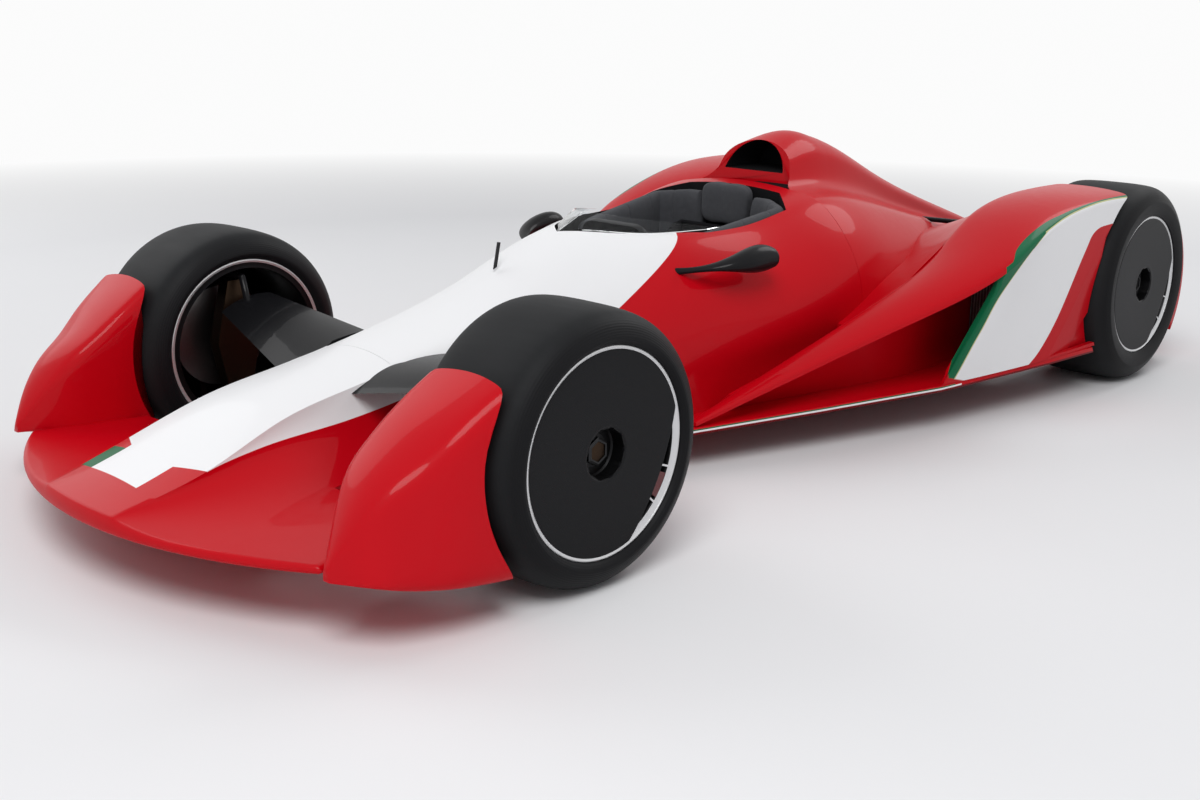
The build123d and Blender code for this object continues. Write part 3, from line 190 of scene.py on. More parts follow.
# Wheel covers: wide circle that cuts the crescent, in metres and degrees rearwards from level, and
# the disc's own radius; then stays across the crescent, and the plate between them
CRESCENT_RADIUS = 0.549
CRESCENT_OFFSET = 0.350
CRESCENT_TURN = -27
COVER_RADIUS = 0.239
TAB_ANGLES = (-19.5, -43.0)
TAB_RADII = (0.1950, 0.2225)
TAB_SPREAD = 0.62
PLATE_SPAN = (-24.0, -40.0)
PLATE_RADII = (0.1985, 0.2213)

# Camera of the photograph: place, then turn, tilt and roll in radians, then vertical shift
CAMERA_PLACE = (2.9152, -3.4713, 1.2845)
CAMERA_TURN = (0.7623, 0.2372, 0.0177)
CAMERA_SHIFT = -0.0417

# Raked floor, gap under what stands on it, gap between panels, wall of hollow shells
FLOOR_TOP_AT_FRONT_AXLE = 0.112
FLOOR_RAKE = 0.0257
FLOOR_GAP = 0.0003
SEAM = 0.0016
SHELL = 0.014

# Lamps: name, place, the point they face, diameter and power in watts
LAMPS = (
    ("key", (3.5, -4.5, 6.0), (0, 0, 0.3), 4.0, 300.0),
    ("fill", (-5.5, -2.0, 4.0), (0, 0, 0.3), 5.0, 110.0),
    ("back", (1.0, 6.0, 5.5), (0, 0.5, 0.4), 4.0, 150.0))


def floor_top(y):
    """Height of the raked floor's upper face: 112 mm at the front axle, rising 25.7 mm a metre."""
    return FLOOR_TOP_AT_FRONT_AXLE + FLOOR_RAKE * (y - FRONT_AXLE)


def on_floor(y):
    """Height at which the bodywork stands, just clear of the floor."""
    return floor_top(y) + FLOOR_GAP


class CarColours(bpy.types.PropertyGroup):
    """Colours of the car's finishes."""

    red: FloatVectorProperty(
        name="Red", description="Gloss red of the bodywork", subtype="COLOR", size=3,
        min=0.0, max=1.0, default=(0.52, 0.001, 0.007))
    white: FloatVectorProperty(
        name="White", description="Gloss white of the nose and the side panels", subtype="COLOR",
        size=3, min=0.0, max=1.0, default=(0.86, 0.86, 0.87))
    green: FloatVectorProperty(
        name="Green", description="Green of the stripes", subtype="COLOR", size=3,
        min=0.0, max=1.0, default=(0.003, 0.125, 0.050))
    carbon: FloatVectorProperty(
        name="Carbon", description="Clear coated carbon fibre", subtype="COLOR", size=3,
        min=0.0, max=1.0, default=(0.0035, 0.0035, 0.0042))
    tread: FloatVectorProperty(
        name="Tread", description="Satin grey of the slick treads", subtype="COLOR", size=3,
        min=0.0, max=1.0, default=(0.011, 0.0115, 0.0125))
    padding: FloatVectorProperty(
        name="Padding", description="Dark grey cloth of the cockpit padding", subtype="COLOR",
        size=3, min=0.0, max=1.0, default=(0.030, 0.031, 0.036))


class CarWheels(bpy.types.PropertyGroup):
    """Counts and sizes of the wheels' visible detail."""

    segments: IntProperty(
        name="Segments", description="Steps round each tyre and rim", default=160, min=48, max=360)
    spokes: IntProperty(
        name="Spokes", description="Spokes behind each wheel's cover", default=10, min=5, max=20)
    lip_ring: FloatProperty(
        name="Lip ring", description="Width of the bright machined lip", default=0.0045,
        min=0.001, max=0.02, unit="LENGTH")


class CarStage(bpy.types.PropertyGroup):
    """Camera and floor of the picture."""

    lens: FloatProperty(
        name="Lens", description="Focal length for a 36 mm wide frame", default=42.22,
        min=10.0, max=200.0)
    floor_size: FloatProperty(
        name="Floor", description="Width of the pale floor", default=60.0, min=10.0, unit="LENGTH")
    backdrop: FloatVectorProperty(
        name="Backdrop", description="White behind the car and far out on the floor", subtype="COLOR",
        size=3, min=0.0, max=1.0, default=(0.97, 0.97, 0.97))
    surroundings: FloatProperty(
        name="Surroundings", description="Brightness of what lights the car and is mirrored in it",
        default=0.40, min=0.0, max=2.0)
    fade_from: FloatProperty(
        name="Fade from", description="Distance at which the floor starts to fade to the backdrop",
        default=4.5, min=0.0, unit="LENGTH")
    fade_over: FloatProperty(
        name="Fade over", description="Length over which the floor fades to the backdrop",
        default=4.0, min=0.1, unit="LENGTH")


class Wire:
    """A shader socket that takes part in Python expressions: each operator adds its Math node."""

    def __init__(self, tree, socket):
        self.tree = tree
        self.socket = socket

    def _math(self, operation, *values, clamp=False):
        node = self.tree.nodes.new("ShaderNodeMath")
        node.operation = operation
        node.use_clamp = clamp
        for place, value in zip(node.inputs, values):
            if isinstance(value, Wire):
                self.tree.links.new(value.socket, place)
            else:
                place.default_value = value
        return Wire(self.tree, node.outputs[0])

    def __add__(self, other):
        return self._math("ADD", self, other)

    __radd__ = __add__

    def __sub__(self, other):
        return self._math("SUBTRACT", self, other)

    def __rsub__(self, other):
        return self._math("SUBTRACT", other, self)

    def __mul__(self, other):
        return self._math("MULTIPLY", self, other)

    __rmul__ = __mul__

    def __truediv__(self, other):
        return self._math("DIVIDE", self, other)

    def __abs__(self):
        return self._math("ABSOLUTE", self)

    def clamp(self):
        """The value held between 0 and 1."""
        return self._math("ADD", self, 0.0, clamp=True)

    def fract(self):
        """The part after the point."""
        return self._math("FRACT", self)

    def power(self, exponent):
        """The value to a power."""
        return self._math("POWER", self, exponent)

    def sine(self):
        """The sine of the value in radians."""
        return self._math("SINE", self)

    def smaller(self, other):
        """The smaller of two values."""
        return self._math("MINIMUM", self, other)

    def larger(self, other):
        """The larger of two values."""
        return self._math("MAXIMUM", self, other)

    def beyond(self, edge, soft=0.0006):
        """0 below the edge and 1 above it, over a short ramp."""
        return ((self - edge) / (2 * soft) + 0.5).clamp()


class Finish:
    """A material under construction, with its Principled shader and object coordinates."""

    def __init__(self, name, colour, roughness, metallic=0.0, coat=0.0, **numbers):
        self.material = bpy.data.materials.new(name)
        self.material.use_nodes = True
        self.tree = self.material.node_tree
        self.shader = self.tree.nodes["Principled BSDF"]
        self.material.diffuse_color = (*colour, 1.0)
        fixed = {
            "Base Color": (*colour, 1.0), "Roughness": roughness, "Metallic": metallic,
            "Coat Weight": coat, "Coat Roughness": 0.03, **numbers,
        }
        for socket, value in fixed.items():
            self.shader.inputs[socket].default_value = value
        self._position = None

    def node(self, kind, settings=None, output=0, **inputs):
        """Adds a node: its settings first, then the values or links of its sockets."""
        made = self.tree.nodes.new(kind)
        for key, value in (settings or {}).items():
            setattr(made, key, value)
        for key, value in inputs.items():
            place = made.inputs[int(key[1:])] if key[1:].isdigit() else made.inputs[key.replace("_", " ")]
            if isinstance(value, Wire):
                self.tree.links.new(value.socket, place)
            else:
                place.default_value = value
        return Wire(self.tree, made.outputs[output])

    def position(self):
        """Object coordinates as three wires."""
        if self._position is None:
            where = self.node("ShaderNodeTexCoord", output="Object")
            self._position = [
                self.node("ShaderNodeSeparateXYZ", output=axis, Vector=where) for axis in range(3)]
            self.where = where
        return self._position

    def noise(self, scale, detail=3.0, stretch=None):
        """Noise from 0 to 1 in object coordinates, optionally stretched along the axes."""
        self.position()
        where = self.where
        if stretch is not None:
            where = self.node("ShaderNodeMapping", Vector=where, Scale=stretch)
        return self.node("ShaderNodeTexNoise", Vector=where, Scale=scale, Detail=detail, Roughness=0.5)

    def mix(self, factor, low, high):
        """Colour that goes from low to high by a factor."""
        low, high = (colour if isinstance(colour, Wire) else (*colour[:3], 1.0) for colour in (low, high))
        return self.node("ShaderNodeMix", {"data_type": "RGBA"}, 2, _0=factor, _6=low, _7=high)

    def feed(self, **sockets):
        """Links wires to the shader's sockets."""
        for key, wire in sockets.items():
            self.tree.links.new(wire.socket, self.shader.inputs[key.replace("_", " ")])
        return self

    def bump(self, height, distance):
        """Relief of this depth in metres."""
        relief = self.node("ShaderNodeBump", Height=height, Distance=distance, Strength=1.0)
        return self.feed(Normal=relief)


def spline(rows, at):
    """Table rows carried smoothly along their first column.

    Each column is a natural cubic curve: piecewise cubic, with value, slope and second slope
    continuous, and no second slope at the ends. Returns one row for each value of at.
    """
    rows = np.array(rows, float)
    x, y = rows[:, 0], rows[:, 1:]
    step = np.diff(x)
    rise = np.diff(y, axis=0) / step[:, None]
    count = len(x)
    matrix = np.eye(count)
    right = np.zeros_like(y)
    for k in range(1, count - 1):
        matrix[k, k - 1: k + 2] = step[k - 1], 2 * (step[k - 1] + step[k]), step[k]
        right[k] = 6 * (rise[k] - rise[k - 1])
    bend = np.linalg.solve(matrix, right)
    at = np.asarray(at, float)
    k = np.clip(np.searchsorted(x, at.ravel()) - 1, 0, count - 2)
    h = step[k][:, None]
    a = (x[k + 1] - at.ravel())[:, None] / h
    b = 1 - a
    out = a * y[k] + b * y[k + 1] + ((a**3 - a) * bend[k] + (b**3 - b) * bend[k + 1]) * h * h / 6
    return out.reshape(at.shape + (y.shape[1],))


def table_at(rows, y, axle):
    """A table's values in metres at places y along the car, its stations counted from an axle."""
    return spline(rows, (y - axle) / MM) * MM


def three(a, b, c, count):
    """Parabola through a at 0, b at a half and c at 1, as count points for each row.

    p(t) = a (1-t)(1-2t) + 4 b t (1-t) + c t (2t-1).
    """
    t = np.linspace(0, 1, count)[None, :, None]
    a, b, c = (np.asarray(p)[:, None, :] for p in (a, b, c))
    return a * (1 - t) * (1 - 2 * t) + 4 * b * t * (1 - t) + c * t * (2 * t - 1)


def pair(x, z):
    """Points (x, z) of a section, one for each row."""
    return np.stack([x, z], axis=-1)


def straight(a, b, count):
    """Points evenly spaced from a to b for each row."""
    t = np.linspace(0, 1, count)[None, :, None]
    a, b = (np.asarray(p)[:, None, :] for p in (a, b))
    return a + (b - a) * t


def through(points, count):
    """Smooth curve through each row's points: natural cubic over evenly spaced parameters."""
    points = np.asarray(points, float)
    rows, knots, size = points.shape
    table = np.concatenate(
        [np.arange(knots)[:, None], points.transpose(1, 0, 2).reshape(knots, rows * size)], axis=1)
    made = spline(table, np.linspace(0, knots - 1, count))
    return made.reshape(count, rows, size).transpose(1, 0, 2)


def soften(loop, places, passes=6):
    """Rounds a ring of points near given places: each pass moves a point halfway to the middle
    of its two neighbours, by a weight that is 1 at the place and falls to 0 four points away."""
    index = np.arange(loop.shape[1])
    weight = np.zeros(loop.shape[1])
    for place in places:
        gap = np.abs(index - place)
        gap = np.minimum(gap, loop.shape[1] - gap)
        weight = np.maximum(weight, np.clip(1 - gap / 4.0, 0, 1))
    weight = 0.5 * weight[None, :, None]
    for _ in range(passes):
        middle = (np.roll(loop, 1, axis=1) + np.roll(loop, -1, axis=1)) / 2
        loop = loop * (1 - weight) + middle * weight
    return loop


def build(name, points, ring=True, tube=False, caps=True, crease=40):
    """Mesh of a grid of points, rows by columns, put in with from_pydata.

    ring joins each row's last point to its first, tube joins the last row to the first row,
    and caps closes the first and last rows with one face each.
    """
    points = np.asarray(points, float)
    rows, columns = points.shape[:2]
    index = np.arange(rows * columns).reshape(rows, columns)
    if ring:
        index = np.concatenate([index, index[:, :1]], axis=1)
    if tube:
        index = np.concatenate([index, index[:1]], axis=0)
    quads = np.stack([index[:-1, :-1], index[:-1, 1:], index[1:, 1:], index[1:, :-1]], axis=-1)
    faces = quads.reshape(-1, 4).tolist()
    if ring and caps and not tube:
        faces.append(index[0, :-1].tolist()[::-1])
        faces.append(index[-1, :-1].tolist())
    mesh = bpy.data.meshes.new(name)
    mesh.from_pydata(points.reshape(-1, 3).tolist(), [], faces)
    return settle(name, mesh, crease)


def smooth(mesh, crease):
    """Smooth shading with sharp edges past crease degrees."""
    mesh.polygons.foreach_set("use_smooth", np.ones(len(mesh.polygons), bool))
    mesh.set_sharp_from_angle(angle=math.radians(crease))


def placed(name, mesh):
    """Object of a mesh in the scene, at the origin."""
    piece = bpy.data.objects.new(name, mesh)
    bpy.context.scene.collection.objects.link(piece)
    return piece


def settle(name, mesh, crease=40, weld=1e-6):
    """Object of a mesh whose doubles are merged and whose faces point outwards."""
    work = bmesh.new()
    work.from_mesh(mesh)
    bmesh.ops.remove_doubles(work, verts=work.verts, dist=weld)
    bmesh.ops.dissolve_degenerate(work, edges=work.edges, dist=weld)
    bmesh.ops.recalc_face_normals(work, faces=work.faces)
    work.to_mesh(mesh)
    work.free()
    smooth(mesh, crease)
    return placed(name, mesh)


def flatten(piece, crease=40):
    """Applies a piece's modifiers, so that its mesh is what shows."""
    bpy.context.view_layer.update()
    graph = bpy.context.evaluated_depsgraph_get()
    mesh = bpy.data.meshes.new_from_object(piece.evaluated_get(graph))
    old = piece.data
    piece.modifiers.clear()
    piece.data = mesh
    bpy.data.meshes.remove(old)
    smooth(mesh, crease)
    return piece


def carve(piece, cutter, operation="DIFFERENCE", crease=40, inner=False):
    """Cuts a piece with another closed mesh, or joins them, and applies it.

    With inner, the faces that the cut makes are marked by a face attribute of that name.
    """
    if inner:
        while len(piece.data.materials) < 2:
            piece.data.materials.append(None)
        cutter.data.materials.append(None)
        cutter.data.materials.append(None)
        cutter.data.polygons.foreach_set("material_index", np.ones(len(cutter.data.polygons), int))
    change = piece.modifiers.new("cut", "BOOLEAN")
    change.operation = operation
    change.solver = "EXACT"
    change.object = cutter
    flatten(piece, crease)
    bpy.data.objects.remove(cutter)
    if inner:
        index = np.zeros(len(piece.data.polygons), int)
        piece.data.polygons.foreach_get("material_index", index)
        known = piece.data.attributes.get("inner")
        mark = known or piece.data.attributes.new("inner", "FLOAT", "FACE")
        mark.data.foreach_set("value", index.astype(float))
    return piece


def bevelled(piece, width, crease=40):
    """Rounds the edges that turn by more than 35 degrees."""
    change = piece.modifiers.new("edges", "BEVEL")
    change.width = width
    change.segments = 2
    change.limit_method = "ANGLE"
    change.angle_limit = math.radians(35)
    change.harden_normals = False
    return flatten(piece, crease)


def merged(name, *pieces):
    """One object out of several meshes."""
    work = bmesh.new()
    for piece in pieces:
        work.from_mesh(piece.data)
        bpy.data.objects.remove(piece)
    mesh = bpy.data.meshes.new(name)
    work.to_mesh(mesh)
    work.free()
    mesh.polygons.foreach_set("use_smooth", np.ones(len(mesh.polygons), bool))
    return placed(name, mesh)


def reflected(name, piece):
    """The same piece on the car's other side, with its faces turned outwards again."""
    mesh = piece.data.copy()
    mesh.transform(Matrix.Diagonal((-1, 1, 1, 1)))
    mesh.flip_normals()
    return placed(name, mesh)


def cad_copy(node, name, width=0.0):
    """Welded and smoothed copy of a CAD node that has the right shape, its edges rounded by width."""
    mesh = NODES[node].data.copy()
    mesh.materials.clear()
    piece = settle(name, mesh, 30, weld=2e-5)
    return bevelled(piece, width, crease=30) if width else piece


def ring(name, profile, centre, segments, crease=40, closed=True, out=1):
    """Profile of (x, radius) turned about an axle along X: y = r sin(a), z = r cos(a).

    out is 1 on the left and -1 on the right, where the profile faces the other way.
    """
    x, radius = np.array(profile, float).T * np.array([[out], [1]])
    angle = np.linspace(0, 2 * np.pi, segments, endpoint=False)[:, None]
    x = np.broadcast_to(x, (segments, len(x)))
    points = np.stack([x, radius * np.sin(angle), radius * np.cos(angle)], axis=-1) + np.array(centre)
    return build(name, points, ring=closed, tube=True, crease=crease)


def paint(piece, material, body="chassis", nodes=()):
    """Gives a piece its finish, its body, and the CAD nodes it stands for."""
    piece.data.materials.clear()
    piece.data.materials.append(material)
    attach(piece, body)
    if nodes:
        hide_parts(*nodes)
    return piece


def dress(node, material):
    """Gives a CAD node that stays as it is a better finish."""
    NODES[node].data.materials.clear()
    NODES[node].data.materials.append(material)


def nose_surface():
    """Nose cone and splitter as one closed skin.

    A point has a place across, u, and a place along, r. y runs from the splitter's leading arc at
    r = 0 to the straight rear at r = 1, and x and z come from the section at that y: a crown
    parabola to the crest, a hollow cheek to the foot, then the flat splitter out to its edge.
    Top and underside draw together near the edge by the square root law of a quarter circle.
    """
    crown, cheek, plate = 13, 19, 13
    half = np.concatenate([
        np.linspace(0, 1, crown, endpoint=False),
        1 + np.linspace(0, 1, cheek, endpoint=False),
        2 + np.sin(np.linspace(0, np.pi / 2, plate)),
    ])
    along = np.concatenate([
        (1 - np.cos(np.linspace(0, np.pi / 2, 10, endpoint=False))) * 0.05,
        np.linspace(0.05, 1, 46)])
    splitter_end = FRONT_AXLE + SPLITTER_EDGE[0][1] * MM
    tip = FRONT_AXLE + SPLITTER_NOSE * MM
    radius = SPLITTER_RADIUS * MM
    base = SPLITTER_BASE * MM
    middle = (SPLITTER_BASE + SPLITTER_TOP) / 2 * MM
    widest, rounding = 0.66, 0.012

    def section(u, y):
        """x and z of the upper skin, and the splitter's edge, at section places u and stations y."""
        shape = table_at(NOSE, y, FRONT_AXLE)
        crest_x, crest_z, crown_z, waist_x, waist_z, foot_x, foot_z = np.moveaxis(shape, -1, 0)
        a = np.clip(u, 0, 1)
        x = crest_x * a
        z = crown_z - (crown_z - crest_z) * a**2
        t = np.clip(u - 1, 0, 1)
        bow = (1 - t) * (1 - 2 * t), 4 * t * (1 - t), t * (2 * t - 1)
        x = np.where(u > 1, bow[0] * crest_x + bow[1] * waist_x + bow[2] * foot_x, x)
        z = np.where(u > 1, bow[0] * crest_z + bow[1] * waist_z + bow[2] * foot_z, z)
        t = np.clip(u - 2, 0, 1)
        edge = np.interp((y - FRONT_AXLE) / MM, *SPLITTER_EDGE) * MM
        x = np.where(u > 2, foot_x + (np.maximum(edge, foot_x) - foot_x) * t, x)
        z = np.where(u > 2, foot_z + (SPLITTER_TOP * MM - foot_z) * t, z)
        return x, z, edge

    u = np.broadcast_to(half, (len(along), len(half)))
    r = np.broadcast_to(along[:, None], u.shape)
    x = 0.3 * u
    for _ in range(12):
        lead = tip + radius - np.sqrt(radius**2 - np.clip(x, 0, widest) ** 2)
        y = lead * (1 - r) + splitter_end * r
        x, z, edge = section(u, y)
    near = np.minimum(y - lead, edge - x)
    close = np.sqrt(1 - (1 - np.clip(near / rounding, 0, 1)) ** 2)
    z = middle + (z - middle) * close
    low = middle + (base - middle) * close
    front_top = np.stack([x, y, z], axis=-1)
    front_low = np.stack([x, y, low], axis=-1)

    stations = np.linspace(splitter_end + 0.0005, NOSE_JOINT - SEAM / 2, 16)
    u = np.broadcast_to(half, (len(stations), len(half)))
    y = np.broadcast_to(stations[:, None], u.shape)
    x, z, _ = section(np.minimum(u, 2), y)
    joint_z = on_floor(NOSE_JOINT)
    hull_z = joint_z + (base - joint_z) * (NOSE_JOINT - y) / (NOSE_JOINT - tip)
    t = np.clip(u - 2, 0, 1)
    z = z * (1 - t) + hull_z * t
    top = np.concatenate([front_top, np.stack([x, y, z], axis=-1)])
    low = np.concatenate([front_low, np.stack([x, y, hull_z], axis=-1)])
    right = np.array([-1, 1, 1.0])
    loop = np.concatenate([top[:, :0:-1] * right, top, low[:, ::-1], low[:, 1:] * right], axis=1)
    return build("nose_skin", loop, caps=True, crease=50)


def below_crest(crest, waist, foot_x, foot_z, base_z):
    """Half section under the crest: the flank's parabola, the foot, and the base to the centre."""
    foot = pair(foot_x, foot_z)
    corner = pair(foot_x, base_z)
    centre = pair(np.zeros_like(foot_x), base_z)
    return np.concatenate([
        three(crest, waist, foot, 27)[:, :-1], straight(foot, corner, 5)[:, :-1],
        straight(corner, centre, 5)], axis=1)


def whole(half, stations):
    """Closed rings across the car from half sections of (x, z) at stations along Y."""
    y = np.broadcast_to(np.asarray(stations)[:, None], half.shape[:2])
    left = np.stack([half[..., 0], y, half[..., 1]], axis=-1)
    right = left[:, -2:0:-1] * np.array([-1, 1, 1.0])
    return np.concatenate([left, right], axis=1)


def tub_loops():
    """Rings of the tub from the nose joint to the bulkhead, with the crest rounded."""
    y = np.linspace(NOSE_JOINT + SEAM / 2, COVER_JOINT - SEAM / 2, 64)
    crest_x, crest_z, waist_x, waist_z, foot_x, foot_z = table_at(HULL, y, FRONT_AXLE).T
    crown_z = table_at(CROWN, y, FRONT_AXLE)[:, 0]
    crest = pair(crest_x, crest_z)
    middle = pair(crest_x / 2, crown_z - (crown_z - crest_z) * 0.25)
    crown = three(pair(np.zeros_like(y), crown_z), middle, crest, 15)
    side = below_crest(crest, pair(waist_x, waist_z), foot_x, foot_z, on_floor(y))
    loop = whole(np.concatenate([crown[:, :-1], side], axis=1), y)
    count = loop.shape[1]
    return soften(loop, [14, count - 14, 40, count - 40], passes=5)


def cockpit_outline(inset, count=20):
    """Plan of the cockpit opening: pointed front, spreading sides, a narrower back.

    The front is two parabolas through side, bow point and tip.
    """
    half = COCKPIT_HALF - inset
    reach, bow = 0.385 * half / COCKPIT_HALF, 0.59
    side = np.array([[-half, COCKPIT_FRONT]])
    tip = np.array([[0.0, COCKPIT_FRONT - reach]])
    middle = np.array([[-bow * half, COCKPIT_FRONT - bow * reach]])
    left = three(side, middle, tip, count)[0]
    wide, narrow = 0.285 - inset, 0.190 - inset
    back = np.array([
        [wide, COCKPIT_SIDE], [narrow, COCKPIT_BACK - inset],
        [-narrow, COCKPIT_BACK - inset], [-wide, COCKPIT_SIDE]])
    return np.concatenate([left, left[-2::-1] * np.array([-1, 1.0]), back])


def upright(name, outline, low, high, crease=30):
    """Closed wall of an outline in plan, from low to high, each a height or one per point."""
    outline = np.asarray(outline, float)
    rows = [
        np.concatenate([outline, np.broadcast_to(np.asarray(z, float), len(outline))[:, None]], axis=1)
        for z in (low, high)]
    return build(name, np.array(rows), crease=crease)


def tub_piece():
    """Tub with its open cockpit and footwell cut out of the closed hull."""
    piece = build("tub_skin", tub_loops(), crease=32)
    floor = floor_top(COCKPIT_BACK) + 0.024
    footwell = ((-2600, 105, 190, 370), (-1900, 190, 180, 560))
    carve(piece, upright("cockpit_room", cockpit_outline(0.0), floor, 1.2), crease=32, inner=True)
    rows = []
    for station, half, low, high in footwell:
        y = REAR_AXLE + station * MM
        rows.append([[x * MM, y, z * MM] for x, z in (
            (-half, low), (half, low), (half, high), (0, high + 20), (-half, high))])
    carve(piece, build("foot_room", np.array(rows), crease=30), crease=32, inner=True)
    return piece


def cover_loops(inset=0.0):
    """Rings of the engine cover: ridge, concave flare, shoulder crest, flank and foot.

    The ridge is a quarter ellipse, x = neck sin(a), z = neck + rise cos(a); the flare and the
    flank are parabolas through their middle points. The first rings lean back round the airbox.
    """
    start, end = COVER_JOINT + SEAM / 2, TAIL_JOINT - SEAM / 2
    y = start + (end - start) * np.concatenate([
        np.linspace(0, 0.2, 24, endpoint=False), np.linspace(0.2, 1, 56)])
    ridge_z, neck_x, neck_z, hollow_x, hollow_z = table_at(RIDGE, y, REAR_AXLE).T
    crest_x, crest_z, waist_x, waist_z, foot_x, foot_z = table_at(HULL, y, FRONT_AXLE).T
    neck_x, crest_x, waist_x, foot_x = neck_x - inset, crest_x - inset, waist_x - inset, foot_x - inset
    ridge_z, hollow_z, crest_z = ridge_z - inset, hollow_z - inset, crest_z - inset
    angle = np.linspace(0, np.pi / 2, 17)[None, :]
    ridge = pair(
        neck_x[:, None] * np.sin(angle), neck_z[:, None] + (ridge_z - neck_z)[:, None] * np.cos(angle))
    crest = pair(crest_x, crest_z)
    flare = three(pair(neck_x, neck_z), pair(hollow_x, hollow_z), crest, 17)
    side = below_crest(crest, pair(waist_x, waist_z), foot_x, foot_z, on_floor(y))
    half = np.concatenate([ridge[:, :-1], flare[:, :-1], side], axis=1)
    loop = whole(half, y)
    count = loop.shape[1]
    loop = soften(loop, [16, count - 16], passes=10)
    loop = soften(loop, [32, count - 32, 58, count - 58], passes=6)
    above = np.clip((loop[..., 2] - AIRBOX_FOOT) / AIRBOX_BLEND, 0, 1)
    above = above * above * (3 - 2 * above)
    lean = AIRBOX_BACK_AT[1] + (loop[..., 2] - AIRBOX_BACK_AT[0]) * AIRBOX_LEAN
    fade = np.clip(1 - (loop[..., 1] - y[0]) / AIRBOX_FADE, 0, 1)
    loop[..., 1] = loop[..., 1] + above * lean * fade
    return loop


def mouth_cutter():
    """Airbox opening: a segment of a circle over a flat sill, carried back into the cover."""
    half_turn, radius, centre_z, middle_z = 1.37, 0.1244, 0.7436, 0.81
    angle = np.linspace(-half_turn, half_turn, 33)
    x = radius * np.sin(angle)
    z = centre_z + radius * np.cos(angle)
    rows = []
    for y, size in ((REAR_AXLE - 1.30, 1.0), (REAR_AXLE - 1.12, 1.0), (REAR_AXLE - 1.00, 0.93)):
        rows.append(np.stack([x * size, np.full_like(x, y), middle_z + (z - middle_z) * size], axis=-1))
    return build("mouth_room", np.array(rows), crease=40)


def cover_piece():
    """Engine cover: hollow shell with the airbox mouth and the two driveshaft openings."""
    piece = build("engine_cover_skin", cover_loops(), crease=34)
    inner = build("cover_room", cover_loops(SHELL), crease=34)
    middle, shorter, ceiling = REAR_AXLE - 0.40, 0.985, 0.735
    points = np.array([v.co for v in inner.data.vertices])
    points[:, 1] = middle + (points[:, 1] - middle) * shorter
    points[:, 2] = np.minimum(points[:, 2], ceiling)
    inner.data.vertices.foreach_set("co", points.ravel())
    carve(piece, inner, crease=34, inner=True)
    carve(piece, mouth_cutter(), crease=34, inner=True)
    reach, bore = 0.62, 0.062
    profile = [(-reach, 0.0), (-reach, bore), (reach, bore), (reach, 0.0)]
    shaft = ring("shaft_room", profile, (0, REAR_AXLE, REAR_RADIUS), 40, closed=False)
    carve(piece, shaft, crease=34, inner=True)
    return piece


def along_path(points, step):
    """Points evenly spaced along a line of corners, its corners rounded by averaging."""
    points = np.asarray(points, float)
    length = np.concatenate([[0], np.cumsum(np.linalg.norm(np.diff(points, axis=0), axis=1))])
    count = int(length[-1] / step)
    at_length = np.linspace(0, length[-1], count)
    path = np.stack([np.interp(at_length, length, column) for column in points.T], axis=-1)
    for _ in range(60):
        path[1:-1] = path[1:-1] / 2 + (path[:-2] + path[2:]) / 4
    return path, at_length, length[-1]


def swollen(value, power):
    """A sine or cosine with its size to a power, which makes a superellipse of a circle."""
    return np.sign(value) * np.abs(value) ** power


def padded_rail(name):
    """Crowned roll along the left edge of the cockpit, with stitched seams across it.

    The section is a superellipse, |u|^3 + |v|^3 = 1, between the opening's wall and the rail's
    width, up to the slanted top; each seam pulls the fabric in by 2 mm over 3 mm of length.
    """
    width, low, gap, inner_x, end_x = 0.0514, 0.520, 0.0004, 0.096, 0.098
    rounding, seam_depth, seam_length = 0.018, 0.002, 0.003
    outline = cockpit_outline(gap + width / 2, 40)
    front_y, back_y = (REAR_AXLE + end[0] * MM for end in (PAD_FRONT, PAD_BACK))
    right = outline[(outline[:, 0] > inner_x) & (outline[:, 1] > front_y)]
    right = np.concatenate([right, [[end_x, right[-1, 1]]]])
    path, at_length, total = along_path(right, 0.002)
    way = np.gradient(path, axis=0)
    way /= np.linalg.norm(way, axis=1)[:, None]
    outward = np.stack([way[:, 1], -way[:, 0]], axis=-1)
    share = (path[:, 1] - front_y) / (back_y - front_y)
    top = (PAD_FRONT[1] + (PAD_BACK[1] - PAD_FRONT[1]) * share) * MM
    seams = np.linspace(0, total, 6)[1:-1]
    pulled = seam_depth * sum(np.exp(-((at_length - seam) / seam_length) ** 2) for seam in seams)
    to_end = np.minimum(at_length, total - at_length)
    close = np.maximum(np.sqrt(np.clip(to_end / rounding, 0, 1)), 0.06)
    angle = np.linspace(0, 2 * np.pi, 40, endpoint=False)
    u = swollen(np.cos(angle), 2 / 3)
    v = swollen(np.sin(angle), 2 / 3)
    half = (width / 2 - pulled) * close
    tall = ((top - low) / 2 - pulled) * close
    plan = path[:, None, :] + outward[:, None, :] * (half[:, None] * u[None, :])[..., None]
    z = (top + low)[:, None] / 2 + tall[:, None] * v[None, :]
    return build(name, np.concatenate([plan, z[..., None]], axis=-1), crease=60)


